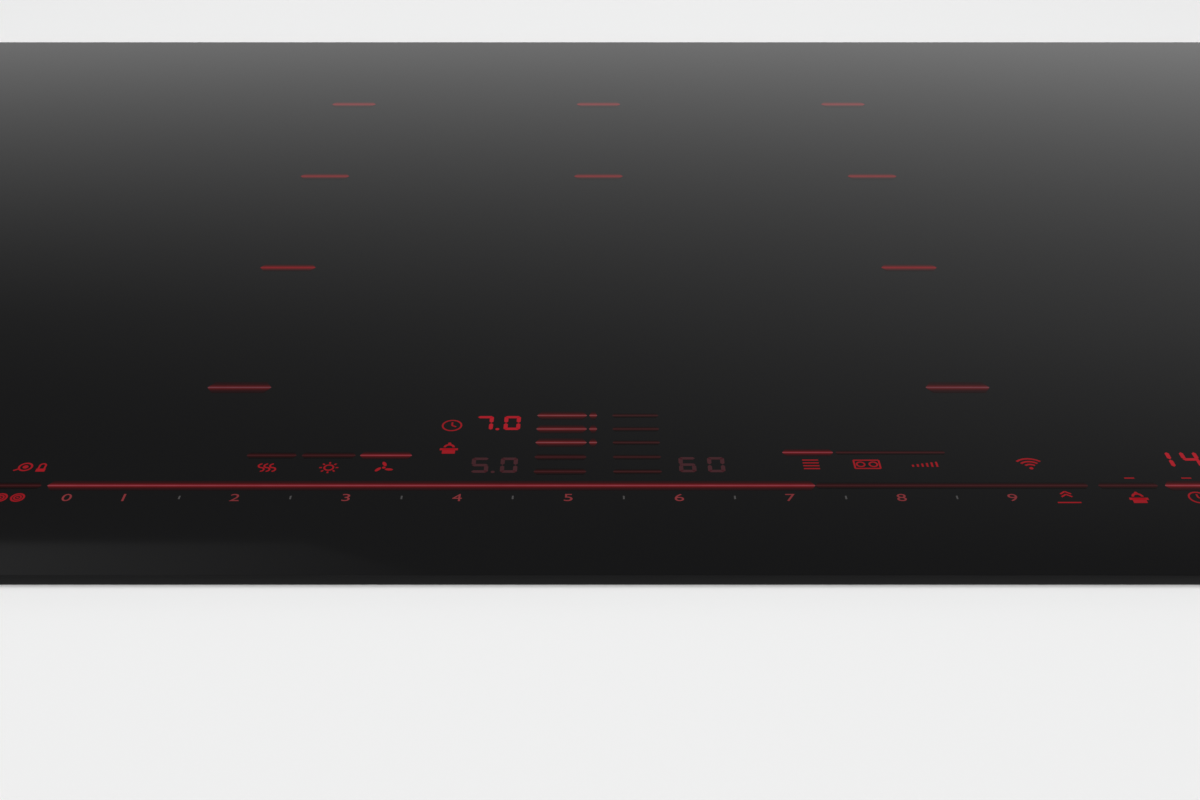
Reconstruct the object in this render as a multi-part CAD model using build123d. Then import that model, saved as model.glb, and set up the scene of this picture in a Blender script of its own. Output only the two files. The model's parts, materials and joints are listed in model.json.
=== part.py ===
"""Built-in induction cooktop, 80 cm class, as an assembly of separate pieces.

A black glass-ceramic plate is bonded to a steel frame, which snaps into a sheet-steel tray.
Below the glass lie two four-coil cooking zones and a two-coil middle zone, the lit control strip,
the power boards and two blowers.

Frame: X to the right, Y to the back, Z up. The origin is the middle of the glass plate, on the
worktop's surface: the seal's underside is at Z = 0, the glass above it, the tray below it.
All sizes are in millimetres.
"""

import math
import os

from build123d import *

# Glass plate
GLASS_WIDTH = 812.0
GLASS_DEPTH = 520.0
GLASS_THICKNESS = 4.0
GLASS_CORNER_RADIUS = 8.0
GLASS_TOP_BEVEL = 0.3
GLASS_BOTTOM_BEVEL = 0.7

# Seal between the glass and the worktop
SEAL_THICKNESS = 1.5
SEAL_WIDTH = 9.0
SEAL_INSET = 4.0

# Worktop cut-out and the steel tray that hangs in it
CUTOUT_SIDE_OVERLAP = 31.0
CUTOUT_END_OVERLAP = 15.0
CUTOUT_GAP = 3.0
TRAY_HEIGHT = 46.0
TRAY_BEND_RADIUS = 3.0
SHEET = 1.0
BEAD_LENGTH = 200.0
BEAD_WIDTH = 12.0
BEAD_HEIGHT = 2.0
BEAD_CORNER = 4.0
BEAD_FROM_SIDE = 157.0
BEAD_FROM_FRONT = 112.0
BEAD_PITCH = 50.0
BEAD_COUNT = 3

# Steel frame bonded under the glass
FRAME_FIT = 0.3
FRAME_FLANGE = 8.0
FRAME_WEB = 14.0
BOND_THICKNESS = 1.0
BOND_WIDTH = 6.0

# Lances pressed out of the tray walls, and the windows of the frame that snap over them
LANCE_LENGTH = 8.0
LANCE_HEIGHT = 2.0
LANCE_DEPTH = 1.8
LANCE_Z = -8.0
LANCE_PLAY = 0.4

# Air outlet slots in the front wall
SLOT_WIDTH = 3.5
SLOT_HEIGHT = 20.0
SLOT_PITCH = 8.0
SLOT_COUNT = 11
SLOT_MIDDLE_Z = -28.0

# Spring clips on the side walls
CLIP_RATIO = 0.31
CLIP_WIDTH = 30.0
CLIP_SHEET = 0.8
CLIP_TAB_HEIGHT = 12.0
CLIP_HINGE_Z = -15.0
CLIP_HINGE_GAP = 0.4
CLIP_WALL_GAP = 0.25
CLIP_BULGE = 5.6
CLIP_BULGE_DROP = 20.0
CLIP_END = 4.8
CLIP_END_DROP = 24.0
CLIP_BEND_RADIUS = 2.0

# Cooking zones: coils in rows from the front of the glass to the back
ZONE_TO_FRONT = 68.0
ZONE_TO_BACK = 64.0
ROW_COUNT = 4
ROW_GAP = 12.0
MIDDLE_ROWS = (2, 3)
COIL_MARGIN = 2.0
COIL_TO_MARK = 16.0
COIL_TO_FRAME = 2.7
WINDING_RATIO = 0.34
WINDING_CORNER = 18.0
WINDING_HEIGHT = 5.0
FORMER_THICKNESS = 2.0
FERRITE_HEIGHT = 3.0
FERRITE_WIDTH = 7.0
FERRITE_INSET = 13.0
FERRITE_COUNT = 4
PLATE_THICKNESS = 1.5
MICA_THICKNESS = 0.5
MICA_MARGIN = 1.0
SENSOR_WIDTH = 8.0
SENSOR_OFFSET = 40.0
SENSOR_CLEARANCE = 1.0

# Lit zone marks: the outer columns stand at a share of the glass's width from the middle
MARK_RATIO = 0.1675
MARK_LENGTH = 23.0
MARK_WIDTH = 1.8
MARK_CLEARANCE = 0.6
LED_STRIP_WIDTH = 14.0
LED_STRIP_THICKNESS = 1.4
LED_STRIP_MARGIN = 14.0

# Coil plates on their posts and bow springs
PLATE_EDGE_GAP = 8.0
PLATE_CORNER = 6.0
PLATE_Y_MARGIN = 4.0
SPRING_LENGTH = 24.0
SPRING_CROWN = 8.0
SPRING_WIDTH = 8.0
SPRING_SHEET = 0.5
SPRING_RISE = 2.5
POST_WIDTH = 8.0
POST_TABLE_LENGTH = 28.0
POST_TABLE_WIDTH = 10.0
POST_TABLE_THICKNESS = 2.5
POST_FROM_MARK = 28.0
POST_FROM_EDGE = 12.0
POST_FROM_ROW = 36.0
POST_BEFORE_TERMINALS = 32.0
MIDDLE_POST_X = 24.0
MIDDLE_POST_FROM_ROW = 40.0

# Blowers
FAN_X = 84.0
FAN_FROM_BACK = 92.0
FAN_INLET_RADIUS = 30.0
FAN_WALL = 1.5
FAN_HEIGHT = 27.0
SCROLL_RADIUS = 37.0
SCROLL_GROWTH = 4.0
OUTLET_INNER_X = 10.0
OUTLET_LENGTH = 62.0
ROTOR_RADIUS = 32.0
ROTOR_BLADE_START = 22.0
ROTOR_HEIGHT = 16.0
ROTOR_DISC = 1.5
ROTOR_CLEARANCE = 1.5
BLADE_COUNT = 19
BLADE_SWEEP = 26.0
BLADE_BOW = 1.8
BLADE_THICKNESS = 1.0
HUB_RADIUS = 14.0
HUB_HEIGHT = 12.0
MOTOR_RADIUS = 13.0
MOTOR_HEIGHT = 5.0
SHAFT_RADIUS = 1.5
SHAFT_CLEARANCE = 0.05

# Inlet slots in the tray's floor under each blower
INLET_SLOT = 4.4
INLET_PITCH = 8.2
INLET_ROWS = 7
INLET_RIB = 4.0

# Power electronics
BOARD_THICKNESS = 1.6
BOARD_STANDOFF = 4.0
STANDOFF_WIDTH = 6.0
STANDOFF_INSET = 10.0
POWER_BOARD_INNER_X = 44.0
POWER_BOARD_FROM_SIDE = 42.0
POWER_BOARD_FROM_FRONT = 72.0
POWER_BOARD_TO_FAN = 80.0
FILTER_BOARD_FROM_MARK = 46.0
FILTER_BOARD_FROM_SIDE = 44.0
FILTER_BOARD_TO_FAN = 70.0
FILTER_BOARD_TO_TERMINALS = 13.0
HEATSINK_WIDTH = 56.0
HEATSINK_BASE = 5.0
HEATSINK_HEIGHT = 25.0
HEATSINK_FRONT_INSET = 20.0
HEATSINK_BACK_INSET = 4.0
FIN_THICKNESS = 1.8
FIN_COUNT = 9
TRANSISTOR_SIZE = (5.0, 16.0, 21.0)
TRANSISTOR_COUNT = 4
CAPACITOR_SIZE = (32.0, 18.0, 24.0)
CAPACITOR_FROM_HEATSINK = 48.0
CAPACITOR_FROM_FRONT = 40.0
CAPACITOR_PITCH = 35.0
CAPACITOR_COUNT = 3
CHOKE_SIZE = (34.0, 30.0, 16.0)
BOBBIN_SIZE = (24.0, 36.0, 24.0)
CHOKE_FROM_EDGE = (40.0, 95.0)
CHOKE_FROM_BACK = 90.0

# Control strip under the glass: distances from the front edge of the glass
SLIDER_FROM_FRONT = 48.3
SLIDER_WIDTH = 2.0
SLIDER_SPANS = ((-206.0, -189.5), (-187.5, 167.0), (170.0, 191.0), (193.0, 214.0))
CONTROL_BOARD_WIDTH = 460.0
CONTROL_BOARD_FRONT = 32.0
CONTROL_BOARD_BACK = 64.0
DISPLAY_WIDTH = 124.0
DISPLAY_BACK = 100.0
LIGHT_BOX_FRONT = 53.0
LIGHT_BOX_BACK = 97.0
LIGHT_BOX_X = (-60.0, 50.0)
LINE_FIRST = 56.6
LINE_PITCH = 8.95
LINE_COUNT = 5
LINE_LENGTH = 18.5
LINE_WIDTH = 1.6
LINE_X = (-13.3, 13.5)
DIGIT_WIDTH = 17.0
DIGIT_HEIGHT = 10.5
DIGIT_PLACES = ((-35.8, 87.4), (-36.0, 60.5), (35.8, 60.5))
TOUCH_FOIL_THICKNESS = 0.3
TOUCH_FOIL_MARGIN = 4.0
LIGHT_GUIDE_HEIGHT = 6.0
CARRIER_THICKNESS = 2.0
CARRIER_RIM = 3.0
CARRIER_LEG_WIDTH = 8.0
CARRIER_LEG_X = (-205.0, -55.0, 55.0, 205.0)

# Mains terminal box in the back right corner of the tray
TERMINAL_FROM_SIDE = 64.0
TERMINAL_WIDTH = 88.0
TERMINAL_DEPTH = 64.0
TERMINAL_HEIGHT = 28.0
TERMINAL_WALL = 2.0
TERMINAL_FIT = 0.4
CABLE_WIDTH = 18.0
CABLE_HEIGHT = 13.0
CABLE_CORNER_RADIUS = 4.0
LID_THICKNESS = 2.0
LID_RECESS = 0.3
LID_RIM = 5.0
LID_PANEL_DEPTH = 0.6
GRIP_LENGTH = 26.0
GRIP_WIDTH = 1.6
GRIP_PITCH = 4.0
GRIP_COUNT = 3
KNUCKLE_RADIUS = 2.2
KNUCKLE_INSET = 6.0
PIVOT_RADIUS = 1.5
PIVOT_CLEARANCE = 0.05
BLOCK_LENGTH = 64.0
BLOCK_DEPTH = 22.0
BLOCK_HEIGHT = 14.0
BLOCK_FROM_BACK = 34.0
POLE_COUNT = 5
POLE_WIDTH = 6.4
POLE_DEPTH = 6.0

# Heights and places worked out from the sizes above
GLASS_BOTTOM = SEAL_THICKNESS
GLASS_TOP = GLASS_BOTTOM + GLASS_THICKNESS
GLASS_FRONT = -GLASS_DEPTH / 2
TRAY_WIDTH = GLASS_WIDTH - 2 * (CUTOUT_SIDE_OVERLAP + CUTOUT_GAP)
TRAY_DEPTH = GLASS_DEPTH - 2 * (CUTOUT_END_OVERLAP + CUTOUT_GAP)
TRAY_BOTTOM = -TRAY_HEIGHT
TRAY_FLOOR = TRAY_BOTTOM + SHEET
WALL_X = TRAY_WIDTH / 2
WALL_Y = TRAY_DEPTH / 2
FRAME_WIDTH = TRAY_WIDTH - 2 * (SHEET + FRAME_FIT)
FRAME_DEPTH = TRAY_DEPTH - 2 * (SHEET + FRAME_FIT)
FRAME_TOP = GLASS_BOTTOM - BOND_THICKNESS
BEAD_X = WALL_X - BEAD_FROM_SIDE
BEAD_Y = [BEAD_FROM_FRONT - WALL_Y + BEAD_PITCH * index for index in range(BEAD_COUNT)]
LANCE_X = (-TRAY_WIDTH / 3, 0.0, TRAY_WIDTH / 3)
LANCE_Y = (-TRAY_DEPTH / 6, TRAY_DEPTH / 6)
CLIP_Y = CLIP_RATIO * TRAY_DEPTH

MICA_BOTTOM = GLASS_BOTTOM - MICA_THICKNESS
WINDING_BOTTOM = MICA_BOTTOM - WINDING_HEIGHT
FORMER_BOTTOM = WINDING_BOTTOM - FORMER_THICKNESS
PLATE_TOP = FORMER_BOTTOM - FERRITE_HEIGHT
PLATE_BOTTOM = PLATE_TOP - PLATE_THICKNESS
POST_TOP = PLATE_BOTTOM - SPRING_RISE

ROW_PITCH = (GLASS_DEPTH - ZONE_TO_FRONT - ZONE_TO_BACK + ROW_GAP) / ROW_COUNT
COIL_DEPTH = ROW_PITCH - ROW_GAP
COIL_CORNER = COIL_DEPTH / 4
ROW_FIRST = GLASS_FRONT + ZONE_TO_FRONT + COIL_DEPTH / 2
ROW_Y = [ROW_FIRST + ROW_PITCH * row for row in range(ROW_COUNT)]
MARK_X = MARK_RATIO * GLASS_WIDTH
COIL_INNER_X = MARK_X + COIL_TO_MARK
COIL_OUTER_X = FRAME_WIDTH / 2 - FRAME_FLANGE - COIL_TO_FRAME
COIL_WIDTH = COIL_OUTER_X - COIL_INNER_X
ZONE_X = (COIL_INNER_X + COIL_OUTER_X) / 2
FERRITE_LENGTH = COIL_DEPTH - 2 * FERRITE_INSET
FERRITE_PITCH = COIL_WIDTH / FERRITE_COUNT
WINDING_WIDTH = COIL_WIDTH - 2 * COIL_MARGIN
WINDING_DEPTH = COIL_DEPTH - 2 * COIL_MARGIN
WINDING_BREADTH = WINDING_RATIO * COIL_DEPTH
WINDOW_WIDTH = WINDING_WIDTH - 2 * WINDING_BREADTH
WINDOW_DEPTH = WINDING_DEPTH - 2 * WINDING_BREADTH
WINDOW_CORNER = WINDOW_DEPTH / 3
SIDE_COILS = [(row + 1, y) for row, y in enumerate(ROW_Y)]
MIDDLE_COILS = [(index + 1, ROW_Y[row]) for index, row in enumerate(MIDDLE_ROWS)]
ZONES = {"left": (-ZONE_X, SIDE_COILS), "centre": (0.0, MIDDLE_COILS), "right": (ZONE_X, SIDE_COILS)}
SIDES = {"left": -1, "right": 1}
ENDS = {"front": -1, "rear": 1}

FAN_Y = WALL_Y - FAN_FROM_BACK
FAN_ROOF = TRAY_FLOOR + FAN_HEIGHT - FAN_WALL
ROTOR_TOP = FAN_ROOF - MOTOR_HEIGHT - ROTOR_CLEARANCE
ROTOR_BOTTOM = ROTOR_TOP - ROTOR_HEIGHT
HUB_BOTTOM = ROTOR_TOP - HUB_HEIGHT

FOIL_BOTTOM = GLASS_BOTTOM - TOUCH_FOIL_THICKNESS
CONTROL_BOARD_TOP = FOIL_BOTTOM - LIGHT_GUIDE_HEIGHT
CONTROL_BOARD_BOTTOM = CONTROL_BOARD_TOP - BOARD_THICKNESS
CARRIER_BOTTOM = CONTROL_BOARD_BOTTOM - CARRIER_THICKNESS

TERMINAL_X = WALL_X - TERMINAL_FROM_SIDE
TERMINAL_BACK = WALL_Y
TERMINAL_FRONT = TERMINAL_BACK - TERMINAL_DEPTH
TERMINAL_TOP = TRAY_BOTTOM + TERMINAL_HEIGHT
LID_BOTTOM = TRAY_BOTTOM + LID_RECESS
LID_TOP = LID_BOTTOM + LID_THICKNESS
PIVOT_Y = TERMINAL_FRONT + KNUCKLE_INSET
PIVOT_Z = LID_BOTTOM + KNUCKLE_RADIUS

BOARD_BOTTOM = TRAY_FLOOR + BOARD_STANDOFF
BOARD_TOP = BOARD_BOTTOM + BOARD_THICKNESS
POWER_BOARD_X = (POWER_BOARD_INNER_X, WALL_X - POWER_BOARD_FROM_SIDE)
POWER_BOARD_Y = (POWER_BOARD_FROM_FRONT - WALL_Y, FAN_Y - POWER_BOARD_TO_FAN)
FILTER_BOARD_X = (MARK_X + FILTER_BOARD_FROM_MARK, WALL_X - FILTER_BOARD_FROM_SIDE)
FILTER_BOARD_Y = (FAN_Y - FILTER_BOARD_TO_FAN, TERMINAL_FRONT - FILTER_BOARD_TO_TERMINALS)
HEATSINK_Y = (POWER_BOARD_Y[0] + HEATSINK_FRONT_INSET, POWER_BOARD_Y[1] - HEATSINK_BACK_INSET)
SIDE_POSTS = (
    (MARK_X + POST_FROM_MARK, ROW_Y[0] - POST_FROM_ROW),
    (COIL_OUTER_X - POST_FROM_EDGE, ROW_Y[0] - POST_FROM_ROW),
    (MARK_X + POST_FROM_MARK, ROW_Y[-1] + POST_FROM_ROW),
    (COIL_OUTER_X - POST_FROM_EDGE, ROW_Y[-1] - POST_BEFORE_TERMINALS),
)
MIDDLE_POSTS = (
    (MIDDLE_POST_X, ROW_Y[MIDDLE_ROWS[0]] - MIDDLE_POST_FROM_ROW),
    (MIDDLE_POST_X, ROW_Y[MIDDLE_ROWS[-1]] + MIDDLE_POST_FROM_ROW),
)


def from_front(distance):
    """Y of a line that lies this far behind the front edge of the glass."""
    return GLASS_FRONT + distance


def slab(width, depth, radius, low, high):
    """Rounded rectangular plate about the Z axis between two heights."""
    return Pos(0, 0, low) * extrude(RectangleRounded(width, depth, radius), high - low)


def clipped_plate(width, depth, corner, low, high):
    """Rectangular plate about the Z axis with clipped corners."""
    plate = block(span_about(0, width), span_about(0, depth), (low, high))
    return chamfer(plate.edges().filter_by(Axis.Z), corner)


def band(width, depth, breadth, low, high):
    """Rectangular ring about the Z axis, its breadth measured inwards."""
    outer = block(span_about(0, width), span_about(0, depth), (low, high))
    hole = block(span_about(0, width - 2 * breadth), span_about(0, depth - 2 * breadth), (low, high))
    return outer - hole


def block(x_span, y_span, z_span):
    """Box between two values on each axis."""
    size = [high - low for low, high in (x_span, y_span, z_span)]
    middle = [(high + low) / 2 for low, high in (x_span, y_span, z_span)]
    return Pos(*middle) * Box(*size)


def disc(radius, low, high):
    """Upright cylinder about the Z axis between two heights."""
    return Pos(0, 0, (low + high) / 2) * Cylinder(radius, high - low)


def span_about(middle, length):
    return (middle - length / 2, middle + length / 2)


def mirrored_span(side, span):
    """A span given for the right-hand side, on the side asked for."""
    return tuple(sorted(side * value for value in span))


# Glass, seal, bond and frame


def glass_plate():
    plate = slab(GLASS_WIDTH, GLASS_DEPTH, GLASS_CORNER_RADIUS, GLASS_BOTTOM, GLASS_TOP)
    plate = chamfer(plate.faces().sort_by(Axis.Z)[-1].edges(), GLASS_TOP_BEVEL)
    return chamfer(plate.faces().sort_by(Axis.Z)[0].edges(), GLASS_BOTTOM_BEVEL)


def edge_seal():
    width = GLASS_WIDTH - 2 * SEAL_INSET
    depth = GLASS_DEPTH - 2 * SEAL_INSET
    opening = block(
        span_about(0, width - 2 * SEAL_WIDTH), span_about(0, depth - 2 * SEAL_WIDTH), (0, GLASS_BOTTOM)
    )
    return slab(width, depth, GLASS_CORNER_RADIUS, 0, GLASS_BOTTOM) - opening


def bonding_silicone():
    inset = (FRAME_FLANGE - BOND_WIDTH) / 2
    return band(FRAME_WIDTH - 2 * inset, FRAME_DEPTH - 2 * inset, BOND_WIDTH, FRAME_TOP, GLASS_BOTTOM)


def lances(play):
    """Small blocks on the inside of the four walls, grown by the play on their free sides."""
    long_side = LANCE_LENGTH + 2 * play
    height = LANCE_HEIGHT + 2 * play
    deep = 2 * (LANCE_DEPTH + play)
    along_x = Box(long_side, deep, height)
    along_y = Box(deep, long_side, height)
    inner_x = WALL_X - SHEET
    inner_y = WALL_Y - SHEET
    solids = [Pos(x, end * inner_y, LANCE_Z) * along_x for end in ENDS.values() for x in LANCE_X]
    solids += [Pos(side * inner_x, y, LANCE_Z) * along_y for side in SIDES.values() for y in LANCE_Y]
    return solids


def bonding_frame():
    flange = band(FRAME_WIDTH, FRAME_DEPTH, FRAME_FLANGE, FRAME_TOP - SHEET, FRAME_TOP)
    web = band(FRAME_WIDTH, FRAME_DEPTH, SHEET, -FRAME_WEB, FRAME_TOP)
    return flange + web - lances(LANCE_PLAY)


# Tray


def tray_shell():
    """Open box folded from sheet, with a bend along each edge of its floor."""
    outer = block(span_about(0, TRAY_WIDTH), span_about(0, TRAY_DEPTH), (TRAY_BOTTOM, 0))
    outer = fillet(outer.faces().sort_by(Axis.Z)[0].edges(), TRAY_BEND_RADIUS)
    inner = block(
        span_about(0, TRAY_WIDTH - 2 * SHEET), span_about(0, TRAY_DEPTH - 2 * SHEET), (TRAY_FLOOR, SHEET)
    )
    inner = fillet(inner.faces().sort_by(Axis.Z)[0].edges(), TRAY_BEND_RADIUS - SHEET)
    snaps = [lance & outer for lance in lances(0)]
    return outer - inner + snaps


def inlet_slots():
    """Rows of slots within a circle, parted by a rib down the middle."""
    slots = []
    for row in range(INLET_ROWS):
        y = INLET_PITCH * (row - (INLET_ROWS - 1) / 2)
        reach = math.sqrt(FAN_INLET_RADIUS**2 - y**2)
        for half in (-1, 1):
            x_span = mirrored_span(half, (INLET_RIB / 2, reach))
            slots.append(block(x_span, span_about(y, INLET_SLOT), (TRAY_BOTTOM, TRAY_FLOOR)))
    return slots


def base_tray():
    tray = tray_shell()
    for side in SIDES.values():
        for y in BEAD_Y:
            place = Pos(side * BEAD_X, y, 0)
            ridge = clipped_plate(
                BEAD_LENGTH, BEAD_WIDTH, BEAD_CORNER, TRAY_FLOOR, TRAY_FLOOR + BEAD_HEIGHT
            )
            groove = clipped_plate(
                BEAD_LENGTH - 2 * SHEET,
                BEAD_WIDTH - 2 * SHEET,
                BEAD_CORNER - SHEET,
                TRAY_BOTTOM,
                TRAY_BOTTOM + BEAD_HEIGHT,
            )
            tray = tray + place * ridge - place * groove
        tray -= [Pos(side * FAN_X, FAN_Y, 0) * slot for slot in inlet_slots()]
        outlet = Pos(side * heatsink_x(), -WALL_Y, SLOT_MIDDLE_Z) * Box(SLOT_WIDTH, 4 * SHEET, SLOT_HEIGHT)
        tray -= [
            Pos(SLOT_PITCH * (index - (SLOT_COUNT - 1) / 2), 0, 0) * outlet for index in range(SLOT_COUNT)
        ]
    corner = block(
        span_about(TERMINAL_X, TERMINAL_WIDTH + 2 * TERMINAL_FIT),
        (TERMINAL_FRONT - TERMINAL_FIT, TERMINAL_BACK + SHEET),
        (TRAY_BOTTOM - SHEET, TERMINAL_TOP + TERMINAL_FIT),
    )
    return tray - corner


# Spring clips


def clip_strip(side, end, face):
    """Bent strip on a side wall. Its face is drawn with X away from the wall and Y up from the hinge."""
    strip = extrude(face, CLIP_WIDTH / 2, both=True)
    upright = Pos(WALL_X, end * CLIP_Y, CLIP_HINGE_Z) * Rot(90, 0, 0) * strip
    return upright if side > 0 else mirror(upright, Plane.YZ)


def clip_tab(side, end):
    face = Pos(CLIP_SHEET / 2, CLIP_TAB_HEIGHT / 2) * Rectangle(CLIP_SHEET, CLIP_TAB_HEIGHT)
    return clip_strip(side, end, face)


def clip_leaf(side, end):
    middle = CLIP_SHEET / 2
    line = FilletPolyline(
        (middle + CLIP_WALL_GAP, -CLIP_HINGE_GAP),
        (middle + CLIP_BULGE, -CLIP_BULGE_DROP),
        (middle + CLIP_END, -CLIP_END_DROP),
        radius=CLIP_BEND_RADIUS,
    )
    return clip_strip(side, end, trace(line, CLIP_SHEET))


# Coils


def winding(x, y):
    """Flat winding with round corners about a long window."""
    outer = slab(WINDING_WIDTH, WINDING_DEPTH, WINDING_CORNER, WINDING_BOTTOM, MICA_BOTTOM)
    window = clipped_plate(WINDOW_WIDTH, WINDOW_DEPTH, WINDOW_CORNER, WINDING_BOTTOM, MICA_BOTTOM)
    return Pos(x, y, 0) * (outer - window)


def mark_slot(low, high):
    """Clearance cut for a lit mark in the middle of a coil."""
    length = MARK_LENGTH + 2 * MARK_CLEARANCE
    width = MARK_WIDTH + 2 * MARK_CLEARANCE
    return block(span_about(0, length), span_about(0, width), (low, high))


def former(x, y, lit):
    """Coil former: a plate with clipped corners, slotted where a lit mark stands in the coil."""
    body = clipped_plate(COIL_WIDTH, COIL_DEPTH, COIL_CORNER, FORMER_BOTTOM, WINDING_BOTTOM)
    if lit:
        body -= mark_slot(FORMER_BOTTOM, WINDING_BOTTOM)
    return Pos(x, y, 0) * body


def zone_formers(zone):
    x, coils = ZONES[zone]
    return Compound(children=[former(x, y, zone == "centre") for _, y in coils])


def ferrite_bars():
    bar = Box(FERRITE_WIDTH, FERRITE_LENGTH, FERRITE_HEIGHT)
    z = (PLATE_TOP + FORMER_BOTTOM) / 2
    steps = [FERRITE_PITCH * (index - (FERRITE_COUNT - 1) / 2) for index in range(FERRITE_COUNT)]
    places = [(x + step, y, z) for x, coils in ZONES.values() for _, y in coils for step in steps]
    return Compound(children=[Pos(*place) * bar for place in places])


def sensor_pillar(grow, low):
    """Square pillar in a coil's window, beside the middle."""
    width = SENSOR_WIDTH + 2 * grow
    return block(span_about(SENSOR_OFFSET, width), span_about(0, width), (low, GLASS_BOTTOM))


def temperature_sensors():
    places = [(x, y) for x, coils in ZONES.values() for _, y in coils]
    return Compound(children=[Pos(x, y, 0) * sensor_pillar(0, WINDING_BOTTOM) for x, y in places])


def mica_sheet(zone):
    x, coils = ZONES[zone]
    first, last = coils[0][1], coils[-1][1]
    depth = last - first + COIL_DEPTH + 2 * MICA_MARGIN
    width = COIL_WIDTH + 2 * MICA_MARGIN
    sheet = clipped_plate(width, depth, PLATE_CORNER, MICA_BOTTOM, GLASS_BOTTOM)
    sheet = Pos(x, (first + last) / 2, 0) * sheet
    for _, y in coils:
        sheet -= Pos(x, y, 0) * sensor_pillar(SENSOR_CLEARANCE, MICA_BOTTOM)
        if zone == "centre":
            sheet -= Pos(x, y, 0) * mark_slot(MICA_BOTTOM, GLASS_BOTTOM)
    return sheet


def mica_sheets():
    return Compound(children=[mica_sheet(zone) for zone in ZONES])


# Lit zone marks


def mark_places():
    columns = [(x, y) for y in ROW_Y for x in (-MARK_X, MARK_X)]
    return columns + [(0.0, y) for _, y in MIDDLE_COILS]


def zone_light_guides():
    low = PLATE_TOP + LED_STRIP_THICKNESS
    bar = block(span_about(0, MARK_LENGTH), span_about(0, MARK_WIDTH), (low, GLASS_BOTTOM))
    return Compound(children=[Pos(x, y, 0) * bar for x, y in mark_places()])


def zone_led_strips():
    strips = []
    for x, coils in ((-MARK_X, SIDE_COILS), (0.0, MIDDLE_COILS), (MARK_X, SIDE_COILS)):
        y_span = (coils[0][1] - LED_STRIP_MARGIN, coils[-1][1] + LED_STRIP_MARGIN)
        strips.append(
            block(span_about(x, LED_STRIP_WIDTH), y_span, (PLATE_TOP, PLATE_TOP + LED_STRIP_THICKNESS))
        )
    return Compound(children=strips)


# Coil plates, posts and springs


def coil_plate(zone):
    x, coils = ZONES[zone]
    outer = COIL_OUTER_X + COIL_MARGIN
    inner = MARK_X - LED_STRIP_WIDTH / 2 - COIL_MARGIN
    side_span = mirrored_span(math.copysign(1, x), (inner, outer))
    x_span = side_span if x else span_about(0, 2 * (inner - PLATE_EDGE_GAP))
    reach = COIL_DEPTH / 2 + PLATE_Y_MARGIN
    y_span = (coils[0][1] - reach, coils[-1][1] + reach)
    plate = clipped_plate(
        x_span[1] - x_span[0], y_span[1] - y_span[0], PLATE_CORNER, PLATE_BOTTOM, PLATE_TOP
    )
    return Pos(sum(x_span) / 2, sum(y_span) / 2, 0) * plate


def post_places():
    side_posts = [(side * x, y) for side in SIDES.values() for x, y in SIDE_POSTS]
    return side_posts + [(side * x, y) for side in SIDES.values() for x, y in MIDDLE_POSTS]


def plate_posts():
    leg = block(span_about(0, POST_WIDTH), span_about(0, POST_WIDTH), (TRAY_FLOOR, POST_TOP))
    table = block(
        span_about(0, POST_TABLE_LENGTH),
        span_about(0, POST_TABLE_WIDTH),
        (POST_TOP - POST_TABLE_THICKNESS, POST_TOP),
    )
    post = leg + table
    return Compound(children=[Pos(x, y, 0) * post for x, y in post_places()])


def bow_spring():
    """Bent leaf: its ends stand on the post and its flat crown carries the plate."""
    end = SPRING_LENGTH / 2
    crown = SPRING_CROWN / 2
    rise = SPRING_RISE - SPRING_SHEET
    under = [(-end, 0), (-crown, rise), (crown, rise), (end, 0)]
    over = [(x, y + SPRING_SHEET) for x, y in reversed(under)]
    face = make_face(Polyline(*under, *over, close=True))
    return Rot(90, 0, 0) * extrude(face, SPRING_WIDTH / 2, both=True)


def plate_springs():
    return Compound(children=[Pos(x, y, POST_TOP) * bow_spring() for x, y in post_places()])


# Blowers


def scroll_face(grow):
    """Snail outline of a blower that blows to the front, grown outwards by the given amount."""
    centre = Vector(0, 0)
    radius = SCROLL_RADIUS + grow
    arcs = []
    for quarter in range(4):
        start = 180 + 90 * quarter
        arcs.append(CenterArc(centre, radius, start, 90))
        direction = Vector(1, 0).rotate(Axis.Z, start + 90)
        centre = centre - direction * SCROLL_GROWTH
        radius += SCROLL_GROWTH
    snail = make_face([*arcs, Line(arcs[-1] @ 1, arcs[0] @ 0)])
    outer_x = (arcs[-1] @ 1).X
    inner_x = -OUTLET_INNER_X + grow
    duct = Pos((outer_x + inner_x) / 2, -OUTLET_LENGTH / 2) * Rectangle(inner_x - outer_x, OUTLET_LENGTH)
    return snail + duct


def at_fan(side, shape):
    """Puts a left-hand blower's piece in its place, mirrored on the right."""
    placed = Pos(-FAN_X, FAN_Y, 0) * shape
    return placed if side < 0 else mirror(placed, Plane.YZ)


def fan_housing(side):
    """Snail cover, open to the tray's inlet slots below, with a mouth to the front."""
    shell = Pos(0, 0, TRAY_FLOOR) * extrude(scroll_face(FAN_WALL), FAN_HEIGHT)
    shell -= Pos(0, 0, TRAY_FLOOR) * extrude(scroll_face(0), FAN_HEIGHT - FAN_WALL)
    mouth_x = (scroll_face(0).bounding_box().min.X, -OUTLET_INNER_X)
    mouth_y = (-OUTLET_LENGTH - FAN_WALL, -OUTLET_LENGTH + 2 * FAN_WALL)
    return at_fan(side, shell - block(mouth_x, mouth_y, (TRAY_FLOOR, FAN_ROOF)))


def fan_motor(side):
    """Flat motor under the cover's roof, with the shaft that carries the rotor."""
    can = disc(MOTOR_RADIUS, FAN_ROOF - MOTOR_HEIGHT, FAN_ROOF)
    return at_fan(side, can + disc(SHAFT_RADIUS, HUB_BOTTOM, FAN_ROOF))


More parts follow.
